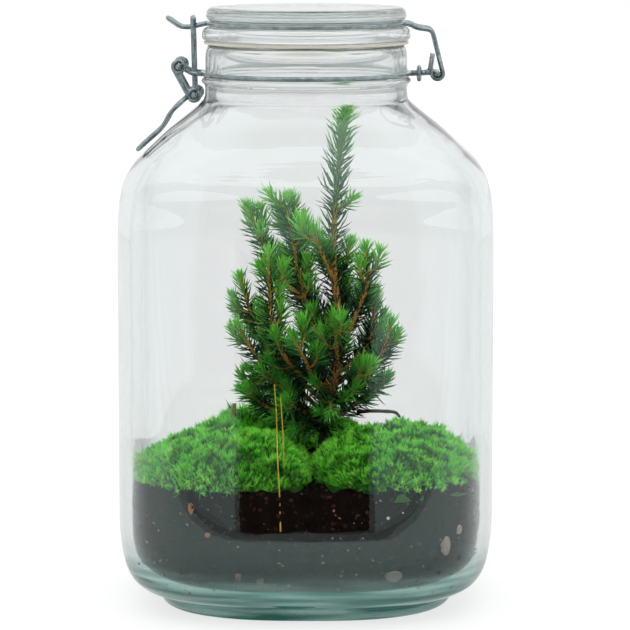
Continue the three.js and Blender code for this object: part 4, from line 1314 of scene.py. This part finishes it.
# painted shade: needles low down and near the stem are made older and darker
deep = np.clip(1 - np.hypot(feet[:, 0] - STEM_X, feet[:, 1]) / 34, 0, 1) * low_down
leader_head = np.clip((feet[:, 2] - 205) / 20, 0, 1)
fresh = np.clip(1.05 * (1 - to_tip) + 0.15 * height, 0, 1)
fresh = np.clip(fresh - 0.3 * deep + 0.7 * leader_head, 0, 1)
shade = np.clip(0.2 + 0.5 * height - 0.35 * deep + needle_random.normal(0, 0.2, len(feet)), 0, 1)
to_point = np.tile([0.0] * 6 + [0.1] * 3 + [0.25], len(feet))
values = {
    "fresh": np.clip(np.repeat(fresh, 10) + 0.4 * to_point, 0, 1),
    "shade": np.clip(np.repeat(shade, 10) + to_point, 0, 1),
}
waxy = spruce_needles("spruce_needles")
add_piece("spruce_foliage", foliage, waxy, smooth=False, values=values)

# %% [markdown]
# Small dry things give the planting its scale: two straws of dead grass, one of them along the glass, a dark
# twig on the right cushion, and a peg of bark behind. They stay where the frame has them. The twig's height
# is taken from the frame's own node, and it settles into the moss by just under a millimetre.

# %% Straws, twig and peg


def dry_wood(name, dark, light, grain_mm):
    """Dead plant stuff: long fibres drawn by noise that is stretched ten times along Z."""
    material, tree, place = new_material(name)
    upright = add_node(tree, "Mapping", {"Vector": place, "Scale": (1.0, 1.0, 0.1)})
    fibres = add_node(tree, "TexNoise", {"Vector": upright, "Scale": per_mm(grain_mm), "Detail": 3.0})
    colour = add_node(tree, "Mix", {"Factor": fibres, "A": dark, "B": light}, data_type="RGBA")
    bump = add_node(tree, "Bump", {"Height": fibres, "Strength": 0.5, "Distance": 0.2 * MM})
    wood = add_node(tree, "BsdfPrincipled", {"Base Color": colour, "Roughness": 0.75, "Normal": bump})
    add_node(tree, "OutputMaterial", {"Surface": wood})
    return material


def knotty(points, radii, knot_mm, depth, seed):
    """A thin tube along the points, whose taper swells and shrinks by waves."""
    line = smooth_line(points, 1.2)
    return tube(line, np.linspace(*radii, len(line)) * (1 + depth * waves(line, knot_mm, seed)), 9)


straw = dry_wood("dead_grass", "#a88420", "#ffe158", 0.8)
bark = dry_wood("dry_bark", "#1f130b", "#4a3020", 1.0)
peg_bark = dry_wood("weathered_bark", "#5c3c1e", "#a07440", 1.0)

STALK_FOOT = [(-10.4, -83.7, 44), (-10.7, -83.6, 58), (-11.2, -83, 70), (-12, -76.5, 80)]
STALK_TOP = [(-12.5, -67, 90), (-12.8, -68, 100), (-13.6, -69, 113)]
TWIG_SETTLES = 0.9
SECOND_STALK = [(-9.4, -64, 70), (-9.8, -65, 90), (-10.8, -67, 106)]
PEG = [(-37, 24, 74), (-37, 24.2, 82), (-36.6, 24.5, 89)]
TWIG = [(25, 5, 96), (32, 3, 96.6), (39, 3, 96.4), (44.5, 4, 95.6), (46.4, 3, 93.6)]
for name, points, radius, material, slot in [
    ("grass_stalk_1", STALK_FOOT + STALK_TOP, 0.32, straw, "straw"),
    ("grass_stalk_2", SECOND_STALK, 0.32, straw, "straw"),
    ("bark_peg", PEG, 1.3, peg_bark, "bark"),
]:
    stick = knotty(points, (radius, 0.75 * radius), 6, 0.12, 80)
    add_piece(f"{name}_dry", stick, material, replaced=[name])

twig_shape = knotty(TWIG, (1.0, 0.75), 5, 0.1, 81)
twig_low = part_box("twig")[0].z / MM - TWIG_SETTLES
twig_shape[0][:, 2] += twig_low - twig_shape[0][:, 2].min()
add_piece("twig_dry", twig_shape, bark, replaced=["twig"])

# %% [markdown]
# The soil's own small bits are loose: crumbs and brown grit all over its surface, pale pebbles, chips of
# orange wood and white grains. All are lumpy balls. Crumbs and grit are scattered, and each is turned by a
# random unit quaternion. At their size, the eye can't tell a lumpy ball from a sculpted stone.

# %% Crumbs and grit
BITS_FROM = 17
crumb_random = np.random.default_rng(90)


def mineral(name, dark, light, grain_mm):
    """Stone or wood bits: two colours mixed by noise, dull, with a fine grain."""
    material, tree, place = new_material(name)
    grain = add_node(tree, "TexNoise", {"Vector": place, "Scale": per_mm(grain_mm), "Detail": 4.0})
    colour = add_node(tree, "Mix", {"Factor": grain, "A": dark, "B": light}, data_type="RGBA")
    stone = add_node(tree, "BsdfPrincipled", {"Base Color": colour, "Roughness": 0.8})
    add_node(tree, "OutputMaterial", {"Surface": stone})
    return material


def lump(seed, around, rows, rough):
    """A lumpy ball of radius 1: rings of latitude, each point moved in or out at random."""
    random = np.random.default_rng(seed)
    latitude = np.linspace(-np.pi / 2, np.pi / 2, rows + 2)[1:-1, None]
    longitude = steps_round(around)[None]
    wide = np.cos(latitude)
    rise = np.sin(latitude) + 0 * longitude
    rings = np.stack([wide * np.cos(longitude), wide * np.sin(longitude), rise], -1)
    rings *= 1 + rough * (random.random((rows, around, 1)) - 0.5)
    return ring_surface(rings, [[0, 0, -1], [0, 0, 1]])


def random_turns(count, random):
    """Random turns in space as matrices, from random unit quaternions."""
    w, x, y, z = unit(random.normal(size=(count, 4))).T
    rows = [
        [1 - 2 * (y * y + z * z), 2 * (x * y - z * w), 2 * (x * z + y * w)],
        [2 * (x * y + z * w), 1 - 2 * (x * x + z * z), 2 * (y * z - x * w)],
        [2 * (x * z - y * w), 2 * (y * z + x * w), 1 - 2 * (x * x + y * y)],
    ]
    return np.moveaxis(np.array(rows), -1, 0)


def loose_bits(seed, count, sizes, stretch, up_to, lift):
    """Scattered lumps on the soil, clear of the silt and below the height up_to, lifted by `lift` mm."""

    def in_reach(middle):
        return (middle[:, 2] > BITS_FROM) & (middle[:, 2] < up_to)

    places, facing = scatter(soil_shape, count, crumb_random, in_reach)
    size = crumb_random.uniform(*sizes, (count, 1)) * crumb_random.uniform(*stretch, (count, 3))
    bits = copies(lump(seed, 5, 2, 0.6), places + lift * facing, random_turns(count, crumb_random), size)
    return held_inside(bits, 0.2)


crumbs = loose_bits(91, 3000, (0.3, 1.1), (0.6, 1.3), RIM_HEIGHT, 0)
add_piece("soil_crumbs", crumbs, soil_material, smooth=False)
grit = loose_bits(92, 300, (0.3, 0.8), (0.6, 1.4), SOIL_HEIGHT, 0.3)
add_piece("soil_grit", grit, mineral("brown_grit", "#5a4030", "#a58c70", 1.0), smooth=False)

# %% [markdown]
# The larger bits show against the front glass, so each has a place of its own. It is given by its height and
# its distance from the jar's middle plane, and pushed out to the wall by the formula of the plan.

# %% Pebbles, chips and grains
# each bit is (x, z, its half sizes along x, y and z)
PEBBLES = [(64.5, 37.5, 2.8, 1.8, 4.6), (41.4, 25, 4.2, 1.8, 2.6), (70, 44, 2.2, 1.5, 2.4)]
CHIPS = [(-51, 56, 1.8, 0.8, 3.4), (-30, 25, 1.6, 0.8, 2.2)]
CHIPS += [(-20, 23, 1.8, 0.8, 1.6), (-44, 44, 1.4, 0.8, 1.2)]
GRAINS = [(39, 52.3, 0.8, 0.7, 0.8), (45.5, 54.6, 0.7, 0.6, 0.7), (12, 56, 0.5, 0.4, 0.5)]


def at_the_glass(x, z, depth):
    """A point `depth` mm behind the front glass: y = -(half^p - |x|^p)^(1/p), half being the inside at z."""
    half = np.interp(z, inside_base[:, 1], inside_base[:, 0]) - depth
    return np.array([x, -((half**BODY_POWER - abs(x) ** BODY_POWER) ** (1 / BODY_POWER)), z])


for name, bits, material in [
    ("pebbles", PEBBLES, mineral("river_pebble", "#7a6a62", "#b8a496", 1.5)),
    ("wood_chips", CHIPS, mineral("orange_wood_chip", "#7d3f22", "#c07a44", 1.0)),
    ("white_grains", GRAINS, mineral("perlite", "#c9c4b8", "#f4f1e8", 0.5)),
]:
    places = np.array([at_the_glass(x, z, 0.5) for x, z, *_ in bits])
    sizes = np.array([size for _, _, *size in bits])
    unturned = np.repeat(np.eye(3)[None], len(bits), 0)
    lumps = copies(lump(95, 18, 10, 0.12), places, unturned, sizes)
    add_piece(name, held_inside(lumps, 0.2), material)

# %% [markdown]
# The stage is a small photographer's table with soft light from all sides, as inside a light tent. Its top
# is white laminate that glows a little. The glow is one strength to the eye and another to light that comes
# by way of the glass, and that sets the tone of the clear walls. The dark cloth only needs to exist for
# reflections, so it is clear to all other light.

# %% Laminate and dark cloth
scene = bpy.context.scene


def laminate(name, colour, glow_seen, glow_through):
    """A dull top, lit from below as well, so that shadows on it stay faint.

    It glows by glow_seen to the eye itself, and by glow_through to light that comes by way of the glass. That
    glow is stronger under the jar's front, and fades far behind the jar, as a backdrop does.
    """
    material, tree, place = new_material(name)
    seen = add_node(tree, "LightPath").outputs["Is Camera Ray"]
    distance = add_node(tree, "SeparateXYZ", {"Vector": place}).outputs["Y"]
    faded = {"From Min": 1.7, "From Max": 3.0, "To Min": glow_through, "To Max": 0.92 * glow_through}
    fading = add_node(tree, "MapRange", {"Value": distance, **faded}, interpolation_type="SMOOTHSTEP")
    near = {"From Min": -0.12, "From Max": -0.05, "To Min": 0.3, "To Max": 0.0}
    front = add_node(tree, "MapRange", {"Value": distance, **near})
    through = add_node(tree, "Math", {0: fading, 1: front}, operation="ADD")
    glow = add_node(tree, "Mix", {"Factor": seen, "A": through, "B": glow_seen})
    paint = add_node(
        tree,
        "BsdfPrincipled",
        {
            "Base Color": colour,
            "Roughness": 0.7,
            "IOR": 1.3,
            "Emission Color": "#ffffff",
            "Emission Strength": glow,
        },
    )
    add_node(tree, "OutputMaterial", {"Surface": paint})
    return material


def dark_cloth(name):
    """Black to light that has been mirrored on its way here, and clear to all other light."""
    material, tree, _ = new_material(name)
    depth = add_node(tree, "LightPath").outputs["Glossy Depth"]
    mirrored = add_node(tree, "Math", {0: depth, 1: 0.5}, operation="GREATER_THAN")
    clear = add_node(tree, "BsdfTransparent")
    black = add_node(tree, "BsdfDiffuse", {"Color": "#060606"})
    mixed = add_node(tree, "MixShader", {0: mirrored, 1: clear, 2: black})
    add_node(tree, "OutputMaterial", {"Surface": mixed})
    return material


white_top = laminate("white_laminate", "#6c6c6c", 0.74, 0.51)
grey_band = laminate("grey_edge_band", "#3c3c3c", 0.1, 0.0)
black_cloth = dark_cloth("dark_cloth")
print("made", white_top.name, grey_band.name, "and", black_cloth.name)

# %% [markdown]
# The table ends 18 cm in front of the jar, with a grey band along its edge, and the room beyond the camera
# is dark between two lit walls. That dark gap mirrors in the jar's flat front as a clear strip, through
# which the soil and the plant look darker and richer than through the veils of light beside it.

# %% The table and the dark wall
TABLE_SIDE, TABLE_BACK, TABLE_FRONT, TABLE_EDGE = 4, 6, -0.273, -0.305
WALL_Y, WALL_LEFT, WALL_RIGHT, WALL_LOW, WALL_TOP = -3.0, -0.75, 0.72, -1.5, 0.05


def flat_sheet(name, corners, material):
    """A stage piece of one face, with its corners in metres."""
    mesh = bpy.data.meshes.new(name)
    mesh.from_pydata(corners, [], [tuple(range(len(corners)))])
    mesh.materials.append(material)
    made = bpy.data.objects.new(name, mesh)
    scene.collection.objects.link(made)
    made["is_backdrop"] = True
    print("stage:", name)


def table_strip(front, back):
    """The corners of a strip across the whole table."""
    side = TABLE_SIDE
    return [(-side, front, 0), (side, front, 0), (side, back, 0), (-side, back, 0)]


wall_corners = [
    (WALL_LEFT, WALL_Y, WALL_LOW),
    (WALL_RIGHT, WALL_Y, WALL_LOW),
    (WALL_RIGHT, WALL_Y, WALL_TOP),
    (WALL_LEFT, WALL_Y, WALL_TOP),
]
flat_sheet("table_top", table_strip(TABLE_FRONT, TABLE_BACK), white_top)
flat_sheet("table_edge", table_strip(TABLE_EDGE, TABLE_FRONT), grey_band)
flat_sheet("dark_wall", wall_corners, black_cloth)

# %% [markdown]
# The light is the world itself: a bright dome. A dome lights the glass and what is inside it alike, with soft
# shadows only where things touch, and it leaves no hot spots for the renderer to search for through the
# glass. Its brightness depends on how light gets there. What falls on things comes mostly from overhead.
# What is mirrored in the glass or seen through it is a calmer white that darkens a little towards the
# camera's side. What the eye meets by itself is plain white.

# %% The light
world = bpy.data.worlds.new("light_tent")
scene.world = world
world.use_nodes = True
sky = world.node_tree
sky.nodes.clear()
direction = add_node(sky, "TexCoord").outputs["Generated"]
axes = add_node(sky, "SeparateXYZ", {"Vector": direction}).outputs
path = add_node(sky, "LightPath").outputs


def brightness(*steps):
    """A sum of smooth steps along the sky's axes, each (axis, start, end, value before, value after)."""
    total = 0.0
    for axis, start, end, before, after in steps:
        step = {"Value": axes[axis], "From Min": start, "From Max": end, "To Min": before, "To Max": after}
        step = add_node(sky, "MapRange", step, interpolation_type="SMOOTHSTEP")
        total = add_node(sky, "Math", {0: step, 1: total}, operation="ADD")
    return total


falling = brightness(("Z", 0.3, 0.8, 0.0, 2.6), ("Y", -0.9, 0.1, 0.62, 1.0))
mirrored = brightness(("Z", 0.25, 1.0, 0.0, 0.55), ("Y", -0.98, 0.2, 0.77, 0.96))
has_fallen = add_node(sky, "Math", {0: path["Diffuse Depth"], 1: 0.5}, operation="GREATER_THAN")
strength = add_node(sky, "Mix", {"Factor": has_fallen, "A": mirrored, "B": falling})
strength = add_node(sky, "Mix", {"Factor": path["Is Camera Ray"], "A": strength, "B": 1.02})
light = add_node(sky, "Background", {"Color": "#fdfdff", "Strength": strength})
add_node(sky, "OutputWorld", {"Surface": light})
scene.view_settings.view_transform = "Standard"
print("nodes in the sky:", len(sky.nodes))

# %% [markdown]
# The camera stands where the photographer stood: about 1.6 m away, a little above the lid, and turned one
# degree to the hinge's side. A long lens at that distance keeps the jar's walls nearly parallel.

# %% The camera
CAMERA_AWAY, CAMERA_HEIGHT, CAMERA_AZIMUTH = 1.6, 0.35, math.radians(-1)
LENS_MM, SENSOR_MM = 190.4, 36
aim = Vector((0.0042, 0.0, 0.1360))
stand = Vector(
    (-CAMERA_AWAY * math.sin(CAMERA_AZIMUTH), -CAMERA_AWAY * math.cos(CAMERA_AZIMUTH), CAMERA_HEIGHT)
)
lens = bpy.data.cameras.new("camera")
lens.lens, lens.sensor_width = LENS_MM, SENSOR_MM
camera = bpy.data.objects.new("camera", lens)
scene.collection.objects.link(camera)
camera.location = stand
camera.rotation_euler = (aim - stand).to_track_quat("-Z", "Y").to_euler()
scene.camera = camera
print("camera at", [round(value, 3) for value in stand])

# %% [markdown]
# Last, the size. The fine surfaces must fill the same box as the frame does, so both boxes are gathered here,
# and the new one is printed.

# %% Size and finish
new_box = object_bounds()
sizes = {
    "cad": [list(corner) for corner in cad_box],
    "visual": [list(corner) for corner in new_box],
}
print("box now:", sizes["visual"])
